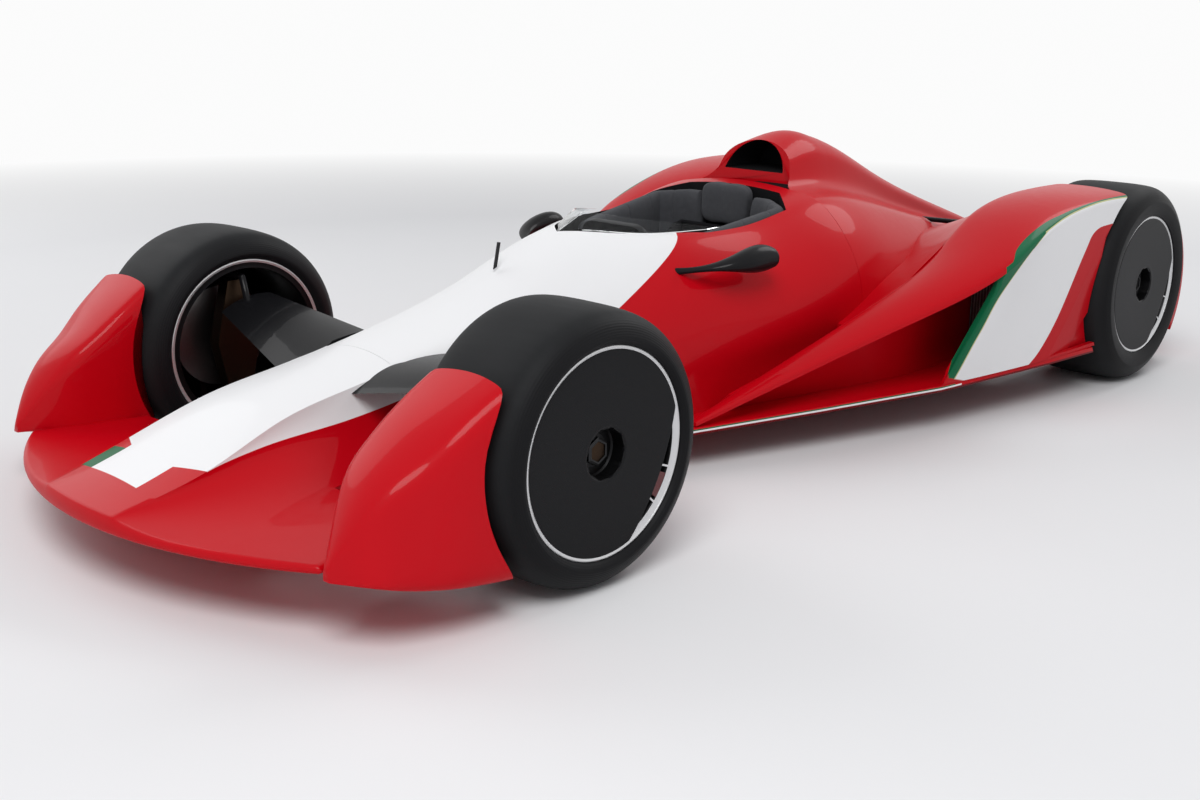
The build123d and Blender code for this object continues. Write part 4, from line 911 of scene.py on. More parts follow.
def headrest_pad(name):
    """Pillow at the cockpit's back: a superellipsoid with a seam round it and one up its middle.

    A point is at centre + size/2 * (c(v) c(u), s(v), c(v) s(u)) with c and s raised to the power
    0.45; the seams pull it in by 2.5 mm.
    """
    low = np.array([-0.095, COCKPIT_BACK - 0.0623, 0.600])
    high = np.array([0.095, COCKPIT_BACK - 0.0003, 0.735])
    centre, size = (low + high) / 2, (high - low) / 2
    power, seam_depth = 0.45, 0.0025
    round_x = np.linspace(-np.pi / 2, np.pi / 2, 61)[1:-1, None]
    about = np.linspace(0, 2 * np.pi, 96, endpoint=False)[None, :]
    x = swollen(np.sin(round_x), power) * np.ones_like(about)
    y = swollen(np.cos(round_x), power) * swollen(np.cos(about), power)
    z = swollen(np.cos(round_x), power) * swollen(np.sin(about), power)
    points = np.stack([x, y, z], axis=-1)
    skin = centre + points * size
    upright_seam = np.exp(-(skin[..., 0] / 0.0022) ** 2)
    round_seam = np.exp(-((skin[..., 1] - centre[1]) / 0.0025) ** 2)
    skin = skin - points * seam_depth * np.minimum(upright_seam + round_seam, 1)[..., None]
    return build(name, skin, crease=60)


def slab_loops(inner_low, inner_high, outer_high, outer_low, crown, top=17, side=5):
    """Ring of a plate's section: crowned top, two edges, flat underside, for each row."""
    middle = (inner_high + outer_high) / 2
    middle = middle + np.stack([np.zeros_like(crown), crown], axis=-1)
    parts = [
        three(inner_high, middle, outer_high, top)[:, :-1],
        straight(outer_high, outer_low, side)[:, :-1],
        straight(outer_low, inner_low, top)[:, :-1],
        straight(inner_low, inner_high, side)[:, :-1],
    ]
    corners = [0, top - 1, top + side - 2, 2 * top + side - 3]
    return np.concatenate(parts, axis=1), corners


def lying(inner_x, inner_z, outer_x, outer_z, crown, thick):
    """Section rings of a plate that lies between two edges, its thickness below them."""
    return slab_loops(
        pair(inner_x, inner_z - thick), pair(inner_x, inner_z),
        pair(outer_x, outer_z), pair(outer_x, outer_z - thick), crown)


def standing(station, foot_x, top_x, top_z, thick, side):
    """Section rings of a plate that stands on the raked floor, its thickness inside it."""
    low = on_floor(REAR_AXLE + station * MM)
    return slab_loops(
        pair(foot_x - thick, low), pair(top_x - thick, top_z),
        pair(top_x, top_z), pair(foot_x, low), np.zeros_like(top_z), top=5, side=side)


def pod_loops(station):
    """Section rings (x, z) of the deflector pod at a station for each row."""
    inner_x, inner_z, rise, outer_x, outer_z, foot_x, bottom_z = (spline(DEFLECTOR, station) * MM).T
    return slab_loops(
        pair(inner_x, bottom_z), pair(inner_x, inner_z),
        pair(outer_x, outer_z), pair(foot_x, bottom_z), rise, top=21, side=15)


def deck_loops(station):
    """Section rings of the arch deck."""
    return lying(*(spline(DECK, station) * MM).T)


def wall_loops(station):
    """Section rings of the arch's inner wall."""
    return standing(station, *(spline(WALL, station) * MM).T, 0.016, 17)


def shelf_loops(station):
    """Section rings of the shelf between the engine cover's flank and the deck."""
    edges = (spline(SHELF, station) * MM).T
    return lying(*edges, np.full_like(edges[0], -0.012), 0.014)


def panel_loops(station):
    """Section rings of the striped side panel, from the raked floor up into the deck's edge."""
    foot_x = (spline(PANEL, station) * MM)[:, 0]
    deck_x, deck_z, _, thick = (spline(DECK, station) * MM).T[2:]
    return standing(station, foot_x, deck_x - 0.0003, deck_z - thick + 0.004, 0.018, 29)


def swept_between(loops, first, last, along, axle, rounds=5):
    """Rings whose ends follow curved or leaning limits.

    A point's station goes from first(z) to last(z) by its share along the piece; because z itself
    comes from the station, the two are worked out in turns until they agree.
    """
    along = np.asarray(along, float)
    start, _ = loops(np.zeros(len(along)) + (first(0.3) + last(0.3)) / 2)
    station = first(start[..., 1]) * (1 - along[:, None]) + last(start[..., 1]) * along[:, None]
    for _ in range(rounds):
        points = np.empty(start.shape)
        for column in range(start.shape[1]):
            rings, corners = loops(station[:, column])
            points[:, column] = rings[:, column]
        z = points[..., 1]
        station = first(z) * (1 - along[:, None]) + last(z) * along[:, None]
    y = axle + station * MM
    return np.stack([points[..., 0], y, points[..., 1]], axis=-1), corners


def before_wheel(low_radius, high_radius, height):
    """Station where a wheel arch about an axle at this height cuts height z.

    The radius goes smoothly from the low one to the high one between 45 and 295 mm above the axle.
    """
    def limit(z):
        above = np.asarray(z) - height
        share = np.clip((above - 0.045) / 0.25, 0, 1)
        radius = low_radius + (high_radius - low_radius) * share**2 * (3 - 2 * share)
        return -np.sqrt(np.clip(radius**2 - above**2, 1e-4, None)) / MM
    return limit


def at(station):
    """Limit at one station for every height."""
    def limit(z):
        return np.zeros_like(np.asarray(z, float)) + station
    return limit


def rounded_ends(count, dense=0.04):
    """Shares from 0 to 1 that crowd towards both ends."""
    inner = np.linspace(dense, 1 - dense, count)
    near, next_one = dense * 0.15, dense * 0.45
    return np.concatenate([[0, near, next_one], inner, [1 - next_one, 1 - near, 1]])


def pod_piece(name):
    """Deflector pod: crowned shell from its low leading edge to the hollow round the tyre."""
    limit = before_wheel(POD_ROOM, POD_ROOM, FRONT_RADIUS)
    points, corners = swept_between(pod_loops, at(-640), limit, rounded_ends(44), FRONT_AXLE)
    return build(name, soften(points, corners, passes=4))


def polyhedron(name, points, faces):
    """Closed mesh of corners and faces, turned outwards."""
    mesh = bpy.data.meshes.new(name)
    mesh.from_pydata(points, [], faces)
    return settle(name, mesh, crease=20)


def arch_cutter(limit):
    """Room of the rear wheel's arch behind a limit, through the body's side."""
    heights = np.linspace(0.05, 0.66, 60)
    edge = [(REAR_AXLE + y * MM, z) for y, z in zip(limit(heights), heights)]
    outline = [*edge, (REAR_AXLE, 0.66), (REAR_AXLE, 0.05)]
    rows = [[(x, y, z) for y, z in outline] for x in (0.75, 0.95)]
    return build("arch_room", rows, crease=20)


def recess_solids():
    """Backing block of the panel's recess, and the wedge that is cut out of block and panel.

    The wedge lies outside two sunk triangles, front to sunk corner to top and top to sunk corner
    to upper corner, and above a third one that makes the recess's lower lip.
    """
    front, top, rear = (np.array(corner) for corner in RECESS)
    back = 1.20
    sunk = front + (rear - front) * (back - front[1]) / (rear - front)[1]
    lip = sunk.copy()
    sunk[0] = rear[0] - RECESS_DEPTH
    upper = np.array([top[0] - 0.016, back, top[2] + 0.004])
    edge = np.array([top[0], back, top[2] + back - top[1]])
    out = np.array([0.05, 0, 0])
    inner = [front, top, edge, lip]
    points = [*inner, *(corner + out for corner in inner), sunk, upper]
    faces = [
        (0, 8, 1), (1, 8, 9), (1, 9, 2), (0, 3, 8), (3, 2, 9, 8),
        (0, 1, 5, 4), (1, 2, 6, 5), (2, 3, 7, 6), (3, 0, 4, 7), (4, 5, 6, 7)]
    wedge = polyhedron("recess_room", [tuple(point) for point in points], faces)
    start = front[1] - 0.02
    outline = [
        (start, 0.172), (back, 0.176), (back, edge[2] + 0.01), (top[1] - 0.014, top[2] + 0.012),
        (start, front[2] + 0.012)]
    rows = [[(x, y, z) for y, z in outline] for x in (sunk[0] - 0.012, 0.826)]
    return build("recess_back", rows, crease=20), wedge


def arch_pieces():
    """The left arch: deck, inner wall and shelf in one mesh, and the side panel with its recess."""
    limit = before_wheel(ARCH_ROOM_LOW, ARCH_ROOM_HIGH, REAR_RADIUS)
    deck, corners = swept_between(deck_loops, at(-1995), limit, rounded_ends(70), REAR_AXLE)
    deck = soften(deck, corners[:2], passes=4)
    wall, _ = swept_between(wall_loops, at(-1840), limit, np.linspace(0, 1, 50), REAR_AXLE)
    shelf, _ = swept_between(shelf_loops, at(-1345), at(-520), np.linspace(0, 1, 34), REAR_AXLE)
    arch = merged("arch_skin", build("deck", deck), build("wall", wall), build("shelf", shelf))

    foot, foot_z, lean, rise = -1130, 140, 130, 420

    def leading(z):
        return foot + (np.asarray(z) / MM - foot_z) * lean / rise

    panel, corners = swept_between(panel_loops, leading, limit, rounded_ends(56, 0.03), REAR_AXLE)
    front_edge = np.clip((panel[..., 1] - panel[:1, :, 1]) / 0.012, 0, 1)
    close = np.maximum(np.sqrt(1 - (1 - front_edge) ** 2), 0.05)
    centre_x = (panel[..., 0] + panel[:, -np.arange(panel.shape[1]), 0]) / 2
    panel[..., 0] = centre_x + (panel[..., 0] - centre_x) * close
    skin = build("panel_skin", panel)
    back, wedge = recess_solids()
    carve(skin, back, "UNION")
    carve(skin, wedge)
    carve(skin, arch_cutter(limit))
    return arch, skin


def tyre_profile(radius, width):
    """Half profile (x, radius) of a slick from the tread's middle to the bead foot, outer skin."""
    half = width / 2
    middle = (radius - 0.062 + 0.249) / 2
    points = np.array([[
        (0, radius), (half * 0.35, radius - 0.0006), (half - 0.060, radius - 0.004),
        (half - 0.032, radius - 0.013), (half - 0.012, radius - 0.032), (half - 0.002, radius - 0.052),
        (half - 0.0003, radius - 0.062), (half - 0.0035, middle), (half - 0.0105, 0.2490)]])
    return through(points, 64)[0]


def tyre_piece(name, centre, radius, width):
    """Slick tyre: its half profile mirrored, closed round the beads, and turned about the axle."""
    half = tyre_profile(radius, width)
    bead = np.array([[width / 2, 0]]) + [(-0.0150, 0.2478), (-0.0228, 0.2476), (-0.0232, 0.2293)]
    side = np.concatenate([half, bead])
    other = side[:0:-1] * np.array([-1, 1.0])
    return ring(name, np.concatenate([side, other]), centre, bpy.context.scene.car_wheels.segments)


def rim_face(width):
    """Distance of a rim's outer face from the wheel's middle."""
    return width / 2 - RIM_INSET


def rim_piece(name, centre, width, out):
    """Barrel with rolled lips and a recessed band, a drop well and a hub with its cup.

    out is 1 on the left.
    """
    half = rim_face(width)
    floor = half - 0.0020
    lip = bpy.context.scene.car_wheels.lip_ring
    seat = LIP_RADIUS - lip - 0.0015
    outer = np.array([
        (floor - 0.0008, 0.2210), (floor, 0.2218), (floor, seat - 0.0008), (floor + 0.0005, seat),
        (half - 0.0006, seat), (half, seat + 0.0010), (half, 0.2440), (half - 0.0012, 0.2464),
        (half - 0.0038, LIP_RADIUS), (half - 0.0085, 0.2468), (half - 0.0092, 0.2310),
        (half - 0.020, 0.2288), (half - 0.050, 0.2280), (half - 0.062, 0.2215), (0.0, 0.2205)])
    inner = np.array([
        (0.0, 0.2150), (half - 0.066, 0.2155), (half - 0.050, 0.2172), (half - 0.012, 0.2185)])
    profile = np.concatenate([inner, outer, outer[-2::-1] * (-1, 1), inner[:0:-1] * (-1, 1)])
    steps = bpy.context.scene.car_wheels.segments
    barrel = ring("barrel", profile, centre, steps, crease=35, out=out)
    hub = np.array([[floor, 0]]) + [
        (-0.008, 0.0600), (-0.008, 0.0655), (-0.070, 0.0655), (-0.070, 0.0245),
        (-0.0425, 0.0245), (-0.042, 0.0260), (-0.042, 0.0555), (-0.038, 0.0590)]
    return merged(name, barrel, ring("hub", hub, centre, 96, crease=35, out=out))


def nut_piece(name, centre, width, out):
    """Six sided axle nut with its washer, at the bottom of the hub's cup."""
    floor = rim_face(width) - 0.0463
    washer = np.array([[floor, 0]]) + [(0, 0.0248), (0.003, 0.0248), (0.003, 0.0385), (0, 0.0400)]
    nut = np.array([[floor, 0]]) + [
        (0.003, 0.0248), (0.0185, 0.0248), (0.0195, 0.0290), (0.0170, 0.0345), (0.003, 0.0345)]
    washer = ring("washer", washer, centre, 64, out=out)
    return merged(name, washer, ring("nut", nut, centre, 6, crease=20, out=out))


def spoke_piece(name, centre, width, out):
    """Tapered spokes from hub to barrel, evenly round the axle, as one joined mesh."""
    floor = rim_face(width) - 0.0043
    count = bpy.context.scene.car_wheels.spokes
    reach = np.linspace(0.058, 0.219, 9)
    share = np.linspace(0, 1, 9)
    wide = 0.017 - 0.008 * np.sin(share * np.pi) ** 0.8
    deep = 0.024 - 0.006 * np.sin(share * np.pi)
    top = floor - 0.0006 - 0.010 * share
    corner = np.array([[-1, 0], [-0.7, 1], [0.7, 1], [1, 0], [0.8, -1], [-0.8, -1]], float)
    across = wide[:, None] * corner[None, :, 0]
    depth = top[:, None] + deep[:, None] / 2 * (corner[None, :, 1] - 1)
    parts = []
    for turn in np.linspace(0, 2 * np.pi, count, endpoint=False):
        y = across * np.cos(turn) + reach[:, None] * np.sin(turn)
        z = -across * np.sin(turn) + reach[:, None] * np.cos(turn)
        points = np.stack([depth * out, y, z], axis=-1) + np.array(centre)
        parts.append(build("spoke", points, crease=50))
    return merged(name, *parts)


def sector(name, centre, span, radii, depths):
    """Curved plate between two angles in degrees, two radii and two places along the axle."""
    angle = np.radians(np.linspace(*span, 24))[:, None]
    radius = np.array([radii[0], radii[1], radii[1], radii[0]])
    x = np.broadcast_to([depths[1], depths[1], depths[0], depths[0]], (24, 4))
    points = np.stack([x, radius * np.cos(angle), radius * np.sin(angle)], axis=-1) + np.array(centre)
    return build(name, points, crease=30)


def tab_piece(name, centre, width, out):
    """Two thin stays across the crescent, from the rim's band to the cover's edge."""
    floor = rim_face(width) - 0.0020
    depths = (floor - 0.004) * out, (floor - 0.0003) * out
    return merged(name, *(
        sector("tab", centre, (middle - TAB_SPREAD, middle + TAB_SPREAD), TAB_RADII, depths)
        for middle in TAB_ANGLES))


def plate_piece(name, centre, width, out):
    """Plain ribbed plate between the two stays, set back behind the rim's band."""
    floor = rim_face(width) - 0.0032
    return sector(name, centre, PLATE_SPAN, PLATE_RADII, ((floor - 0.006) * out, floor * out))


def cover_disc(name, centre, width, out):
    """Flat disc with a rounded edge and a rolled centre hole, cut off along a crescent at one side.

    The edge is the nearer of two circles: the disc's own, and a wide one whose centre lies on the
    far side, so that a point on a ray at angle a is at r = -d cos a + sqrt(R^2 - d^2 sin^2 a).
    """
    face = rim_face(width) - 0.001
    angle = np.linspace(0, 2 * np.pi, 240, endpoint=False)
    away = angle - math.radians(CRESCENT_TURN)
    wide = -CRESCENT_OFFSET * np.cos(away) + np.sqrt(
        CRESCENT_RADIUS**2 - (CRESCENT_OFFSET * np.sin(away)) ** 2)
    limit = np.minimum(COVER_RADIUS, wide)[:, None]
    edge = np.array([0.0012, 0.0002, 0.0, 0.0003, 0.0011, 0.0024, 0.0050])
    edge_x = np.array([-0.0030, -0.0026, -0.0017, -0.0009, -0.0003, 0.0, 0.0])
    share = np.linspace(0.1, 1.0, 9)
    flat = (limit - 0.0050) * (1 - share) + 0.0680 * share
    hole = np.array([0.0652, 0.0628, 0.0609, 0.0600, 0.0600, 0.0616, 0.0650, 0.0700])
    hole_x = np.array([-0.0021, -0.0026, -0.0040, -0.0062, -0.0105, -0.0105, -0.0060, -0.0055])
    radius = np.concatenate([limit - edge, flat, np.broadcast_to(hole, (len(angle), len(hole)))], axis=1)
    x = np.broadcast_to(np.concatenate([edge_x, -0.0022 * share, hole_x]), radius.shape)
    turn = angle[:, None]
    points = np.stack([(face + x) * out, radius * np.cos(turn), radius * np.sin(turn)], axis=-1)
    points = points + np.array(centre)
    return build(name, points, ring=True, tube=True, crease=30)


# Clear coat over paint and carbon
PAINT_COAT = 0.11
COATED = {"Specular IOR Level": 0.05, "Coat IOR": 1.7}

# Livery curves on the left side, as (height, y): where the green band starts, where it ends, and
# where the white band ends
GREEN_FROM = [
    (0.110, 0.350), (0.169, 0.374), (0.272, 0.406), (0.406, 0.447), (0.528, 0.509), (0.609, 0.640),
    (0.637, 0.727), (0.669, 0.868), (0.693, 1.081), (0.700, 1.300)]
GREEN_TO = [
    (0.110, 0.392), (0.167, 0.414), (0.321, 0.459), (0.473, 0.522), (0.613, 0.711), (0.647, 0.817),
    (0.684, 1.007), (0.700, 1.290)]
WHITE_TO = [
    (0.110, 0.720), (0.157, 0.775), (0.210, 0.834), (0.538, 1.033), (0.578, 1.062), (0.599, 1.114),
    (0.610, 1.300), (0.700, 1.400)]
# Green along the deck's outer edge, as (y, x) of its inner border
DECK_GREEN = [
    (0.480, 0.878), (0.530, 0.862), (0.640, 0.840), (0.727, 0.840), (0.868, 0.852), (1.081, 0.861),
    (1.302, 0.858)]
GREEN_START = -0.008
# The deck's green starts here along the car, and the band up to it stays ahead of this place
DECK_GREEN_START = 0.480
BAND_AHEAD_OF = 0.497
# Lower edge of the white on nose and flank, as (y, height); the diagonal that ends it goes back
# from its last point by so many metres for each metre of height
WHITE_LOW = [
    (-2.030, 0.170), (-1.900, 0.246), (-1.763, 0.272), (-1.466, 0.295), (-1.150, 0.362), (-0.841, 0.428),
    (-0.653, 0.469)]
DIAGONAL = 1.838
# The white tongue on the nose: its front, where it widens, and its borders on the left and right;
# the green corner lies beside it, up to its own border
TONGUE_FRONT = -2.018
TONGUE_BACK = -1.928
TONGUE_LEFT = 0.092
TONGUE_RIGHT = -0.120
CORNER_RIGHT = -0.215


def curve(finish, value, points):
    """Smooth function of a wire through given points, as a Float Curve node."""
    points = np.array(points)
    low, size = points.min(axis=0), np.ptp(points, axis=0)
    made = finish.node("ShaderNodeFloatCurve", Value=((value - low[0]) / size[0]).clamp())
    mapping = made.socket.node.mapping
    line = mapping.curves[0]
    scaled = ((points - low) / size).tolist()
    for place, point in zip(line.points, (scaled[0], scaled[-1])):
        place.location = point
    for point in scaled[1:-1]:
        line.points.new(*point)
    mapping.update()
    return made * size[1] + low[1]


def colours():
    """The scene's colour settings."""
    return bpy.context.scene.car_colours


def shade(colour, factor, lift=0.0):
    """A colour made darker or lighter by a factor, then lifted."""
    return tuple(factor * value + lift for value in colour)


def from_axle(finish, centre):
    """Distance of a point from a wheel's axle."""
    x, y, z = finish.position()
    return ((y - centre[1]).power(2.0) + (z - centre[2]).power(2.0)).power(0.5)


def lacquer(name, layers=(), hollow=False):
    """Gloss car paint: red, with layers of (mask function, colour), under a clear coat.

    The colour drifts by a few per cent with slow noise, the gloss with finer noise, and the coat
    has the faint waviness of sprayed paint. With hollow, faces marked inner are bare and black.
    """
    red = colours().red
    finish = Finish(name, tuple(red), 0.34, coat=PAINT_COAT, **COATED)
    drift = finish.noise(2.3, detail=2.0) * 0.10 + 0.95
    colour = finish.node("ShaderNodeCombineXYZ", X=drift * red[0], Y=drift * red[1], Z=drift * red[2])
    for mask, over in layers:
        colour = finish.mix(mask(finish), colour, over)
    gloss = finish.noise(38.0, detail=2.0) * 0.08 + 0.30
    if hollow:
        inner = finish.node("ShaderNodeAttribute", {"attribute_name": "inner"}, output="Fac")
        colour = finish.mix(inner, colour, (0.008, 0.008, 0.009))
        gloss = gloss + inner * 0.4
        finish.feed(Coat_Weight=PAINT_COAT - inner * PAINT_COAT)
    finish.feed(Base_Color=colour, Roughness=gloss)
    finish.bump(finish.noise(150.0, detail=1.0), 0.00004)
    return finish.material


def nose_white(finish):
    """White of the nose: above its lower edge, behind the tongue's front, ahead of the diagonal."""
    x, y, z = finish.position()
    above = (z - curve(finish, y, WHITE_LOW)).beyond(0.0)
    end_y, end_z = WHITE_LOW[-1]
    diagonal = (y - (z - end_z) * DIAGONAL).beyond(end_y)
    tongue = y.beyond(TONGUE_FRONT) * (1 - x.beyond(TONGUE_LEFT)) * x.beyond(TONGUE_RIGHT)
    body = (y - (abs(x) - 0.085).larger(0.0) * 0.42).beyond(TONGUE_BACK)
    return above * (1 - diagonal) * tongue.larger(body)


def nose_green(finish):
    """Green corner beside the white tongue."""
    x, y, z = finish.position()
    across = (1 - x.beyond(TONGUE_RIGHT)) * x.beyond(CORNER_RIGHT)
    return across * y.beyond(TONGUE_FRONT) * (1 - y.beyond(TONGUE_BACK)) * z.beyond(0.176)


def shoulder(finish):
    """Height of a point over the deck's outer edge, and the inner border of the car's side."""
    x, y, z = finish.position()
    edge = [(REAR_AXLE + row[0] * MM, row[4] * MM) for row in DECK[2:]]
    border = [(REAR_AXLE + row[0] * MM, row[3] * MM - 0.10) for row in DECK[2:]]
    return z - curve(finish, y, edge), (abs(x) - curve(finish, y, border)).beyond(0.0)


def side_face(finish):
    """The car's side below the deck's shoulder."""
    height, outer = shoulder(finish)
    return (1 - height.beyond(-0.006)) * outer


def side_white(finish):
    """White band behind the green one."""
    x, y, z = finish.position()
    start = (y - curve(finish, z, GREEN_TO)).beyond(0.0)
    stop = (y - curve(finish, z, WHITE_TO)).beyond(0.0)
    return start * (1 - stop) * side_face(finish)


def side_green(finish):
    """Green band from the duct's leading edge up over the arch, and along the deck's edge."""
    x, y, z = finish.position()
    start = (y - curve(finish, z, GREEN_FROM).smaller(BAND_AHEAD_OF)).beyond(GREEN_START)
    stop = (y - curve(finish, z, GREEN_TO)).beyond(0.0)
    height, _ = shoulder(finish)
    top = (abs(x) - curve(finish, y, DECK_GREEN)).beyond(0.0) * height.beyond(-0.009)
    top = top * y.beyond(DECK_GREEN_START)
    return (start * (1 - stop) * side_face(finish)).larger(top)


def side_line(finish):
    """Pale yellow line between green and white."""
    x, y, z = finish.position()
    behind = y - curve(finish, z, GREEN_TO)
    down = behind.beyond(-0.001) * (1 - behind.beyond(0.004)) * side_face(finish)
    height, outer = shoulder(finish)
    edge = height.beyond(-0.009) * (1 - height.beyond(-0.006)) * outer * y.beyond(0.72)
    return down.larger(edge)


def floor_stripe(low, high, until=9.0):
    """Mask of a line on the floor's edge, between two heights over the raked floor's top."""
    def mask(finish):
        x, y, z = finish.position()
        height = z - floor_top(y)
        between = height.beyond(low) * (1 - height.beyond(high))
        return between * abs(x).beyond(0.30) * (1 - y.beyond(until))
    return mask


def carbon(name="carbon", roughness=0.30, scale=1.0):
    """Clear coated carbon: twill ribs that shine by turns, as |fract((x + y + z) f) - 1/2|."""
    low = tuple(colours().carbon)
    finish = Finish(name, low, roughness, coat=0.10, **COATED)
    x, y, z = finish.position()
    weave = abs(((x + y + z) * (330.0 / scale)).fract() - 0.5) * 2
    colour = finish.mix(weave * 0.6, low, shade(low, 3.2, 0.006))
    finish.feed(Base_Color=colour, Roughness=weave * 0.14 + roughness - 0.05)
    return finish.material


def metal(name, colour, roughness):
    """Machined metal: fine noise moves gloss and colour."""
    finish = Finish(name, colour, roughness, metallic=1.0)
    grain = finish.noise(120.0)
    tone = finish.mix(grain, shade(colour, 0.82), colour)
    finish.feed(Base_Color=tone, Roughness=grain * 0.12 + roughness - 0.06)
    finish.bump(grain, 0.00005)
    return finish.material


def rim_finish(name, centre, face):
    """Rim: bright machined lips and outer band, dark barrel, spokes and hub within."""
    band_from, lip_from, edge = 0.2214, 0.2375, 0.0003
    finish = Finish(name, (0.035, 0.035, 0.037), 0.4)
    radius = from_axle(finish, centre)
    bright = radius.beyond(band_from, edge) * abs(finish.position()[0]).beyond(face - 0.012)
    bright = bright.larger(radius.beyond(lip_from, edge))
    turned = finish.noise(60.0) * 0.06
    finish.feed(
        Base_Color=finish.mix(bright, (0.014, 0.014, 0.015), (0.66, 0.66, 0.67)),
        Metallic=0.9 - bright * 0.35, Roughness=0.40 - bright * 0.20 + turned)
    finish.bump((radius * 2600.0).sine() * bright, 0.00004)
    return finish.material


def ribbed(name, colour, step):
    """Painted plate with fine ribs across its length, and painted shade in the ribs' hollows."""
    finish = Finish(name, colour, 0.4, coat=0.5)
    x, y, z = finish.position()
    rib = ((y + z) * (2 * math.pi / step)).sine()
    # painted shade: base colour darker in the hollows between the ribs, where the bump is low
    tone = finish.mix(rib * 0.5 + 0.5, shade(colour, 0.35), colour)
    finish.feed(Base_Color=tone, Roughness=0.42 - rib * 0.05)
    finish.bump(rib, 0.0004)
    return finish.material


def plastic(name, colour, roughness):
    """Grained plastic."""
    finish = Finish(name, colour, roughness, **{"Specular IOR Level": 0.12})
    cells = finish.noise(240.0, detail=2.0)
    tone = finish.mix(cells, colour, shade(colour, 1.25))
    finish.feed(Base_Color=tone, Roughness=cells * 0.1 + roughness - 0.05)
    finish.bump(cells, 0.0001)
    return finish.material


def slick(name, centre):
    """Slick rubber: satin grey tread with faint scrubbing, darker walls with fine moulding lines."""
    grey = tuple(colours().tread)
    finish = Finish(name, grey, 0.55, **{"Specular IOR Level": 0.10})
    high = from_axle(finish, centre)
    tread = high.beyond(centre[2] - 0.022, 0.012)
    scrub = finish.noise(34.0, detail=4.0, stretch=(0.25, 1.0, 1.0))
    colour = finish.mix(tread, (0.007, 0.007, 0.008), finish.mix(scrub, grey, shade(grey, 1.35)))
    finish.feed(Base_Color=colour, Roughness=0.50 + tread * 0.12 - scrub * 0.06)
    finish.bump((high * 1150.0).sine() * (1 - tread), 0.00012)
    return finish.material


def glass(name, tint):
    """Clear screen with a faint tint, smeared a little."""
    finish = Finish(name, tint, 0.02, **{"Transmission Weight": 1.0, "IOR": 1.2})
    return finish.feed(Roughness=finish.noise(9.0) * 0.03 + 0.005).material


def mirror_finish(name):
    """Silvered mirror glass, very slightly hazy."""
    finish = Finish(name, (0.80, 0.82, 0.84), 0.02, metallic=1.0)
    return finish.feed(Roughness=finish.noise(20.0) * 0.03 + 0.01).material


def core(name):
    """Radiator core: upright tubes with fins between them, bright bands on painted shade in the gaps."""
    finish = Finish(name, (0.22, 0.22, 0.23), 0.45, metallic=0.8)
    x, y, z = finish.position()
    tube = abs((x * 95.0).fract() - 0.5).beyond(0.36, 0.03)
    fin = abs((z * 420.0).fract() - 0.5).beyond(0.25, 0.1)
    # painted shade: near black in the gaps between tubes and fins, bright on the tubes and fins
    finish.feed(Base_Color=finish.mix(tube.larger(fin * 0.6), (0.02, 0.02, 0.022), (0.30, 0.30, 0.31)))
    finish.bump(tube.larger(fin * 0.5), 0.002)
    return finish.material


def cloth(name, colour):
    """Woven cloth over foam: two crossing threads as a fine relief."""
    finish = Finish(name, colour, 0.9)
    x, y, z = finish.position()
    weave = ((x + z) * 2600.0).sine() * (y * 2600.0).sine()
    fleck = finish.noise(60.0)
    finish.feed(
        Base_Color=finish.mix(fleck, colour, shade(colour, 1.5, 0.01)), Roughness=fleck * 0.1 + 0.82)
    finish.bump(weave, 0.00015)
    return finish.material


FINISHES = {}


def finish_of(name):
    """The material of this name, made when first asked for."""
    if name not in FINISHES:
        chosen = colours()
        white, green = tuple(chosen.white), tuple(chosen.green)
        makers = {
            "red_paint": lambda: lacquer("red_paint"),
            "tub_paint": lambda: lacquer("tub_paint", ((nose_white, white),), hollow=True),
            "cover_paint": lambda: lacquer("cover_paint", hollow=True),
            "nose_paint": lambda: lacquer("nose_paint", ((nose_white, white), (nose_green, green))),
            "side_paint": lambda: lacquer("side_paint", (
                (side_white, white), (side_green, green), (side_line, (0.62, 0.60, 0.30)))),
            "floor_paint": lambda: lacquer("floor_paint", (
                (floor_stripe(-0.0085, -0.0045, 0.43), green),
                (floor_stripe(-0.0140, -0.0085, 0.46), white),
                (floor_stripe(-0.2, -0.0140), (0.16, 0.001, 0.004)))),
            "carbon": carbon,
            "satin_carbon": lambda: carbon("satin_carbon", 0.42, 1.4),
            "charcoal": lambda: carbon("charcoal", 0.24, 1.2),
            "front_rim": lambda: rim_finish("front_rim", FRONT_CENTRE, outer_face("front")),
            "rear_rim": lambda: rim_finish("rear_rim", REAR_CENTRE, outer_face("rear")),
            "tab_metal": lambda: metal("tab_metal", (0.75, 0.75, 0.76), 0.25),
            "rim_plate": lambda: ribbed("rim_plate", (0.16, 0.004, 0.008), 0.0036),
            "dark_steel": lambda: metal("dark_steel", (0.040, 0.040, 0.042), 0.42),
            "bronze": lambda: metal("bronze", (0.045, 0.028, 0.018), 0.45),
            "disc_steel": lambda: metal("disc_steel", (0.22, 0.21, 0.21), 0.38),
            "block_metal": lambda: metal("block_metal", (0.14, 0.14, 0.145), 0.5),
            "radiator_core": lambda: core("radiator_core"),
            "clear_screen": lambda: glass("clear_screen", (0.93, 0.95, 0.96)),
            "mirror_glass": lambda: mirror_finish("mirror_glass"),
            "padding": lambda: cloth("padding", tuple(chosen.padding)),
            "dash": lambda: plastic("dash", (0.022, 0.022, 0.024), 0.45),
            "front_rubber": lambda: slick("front_rubber", FRONT_CENTRE),
            "rear_rubber": lambda: slick("rear_rubber", REAR_CENTRE),
        }
        FINISHES[name] = makers[name]()
    return FINISHES[name]


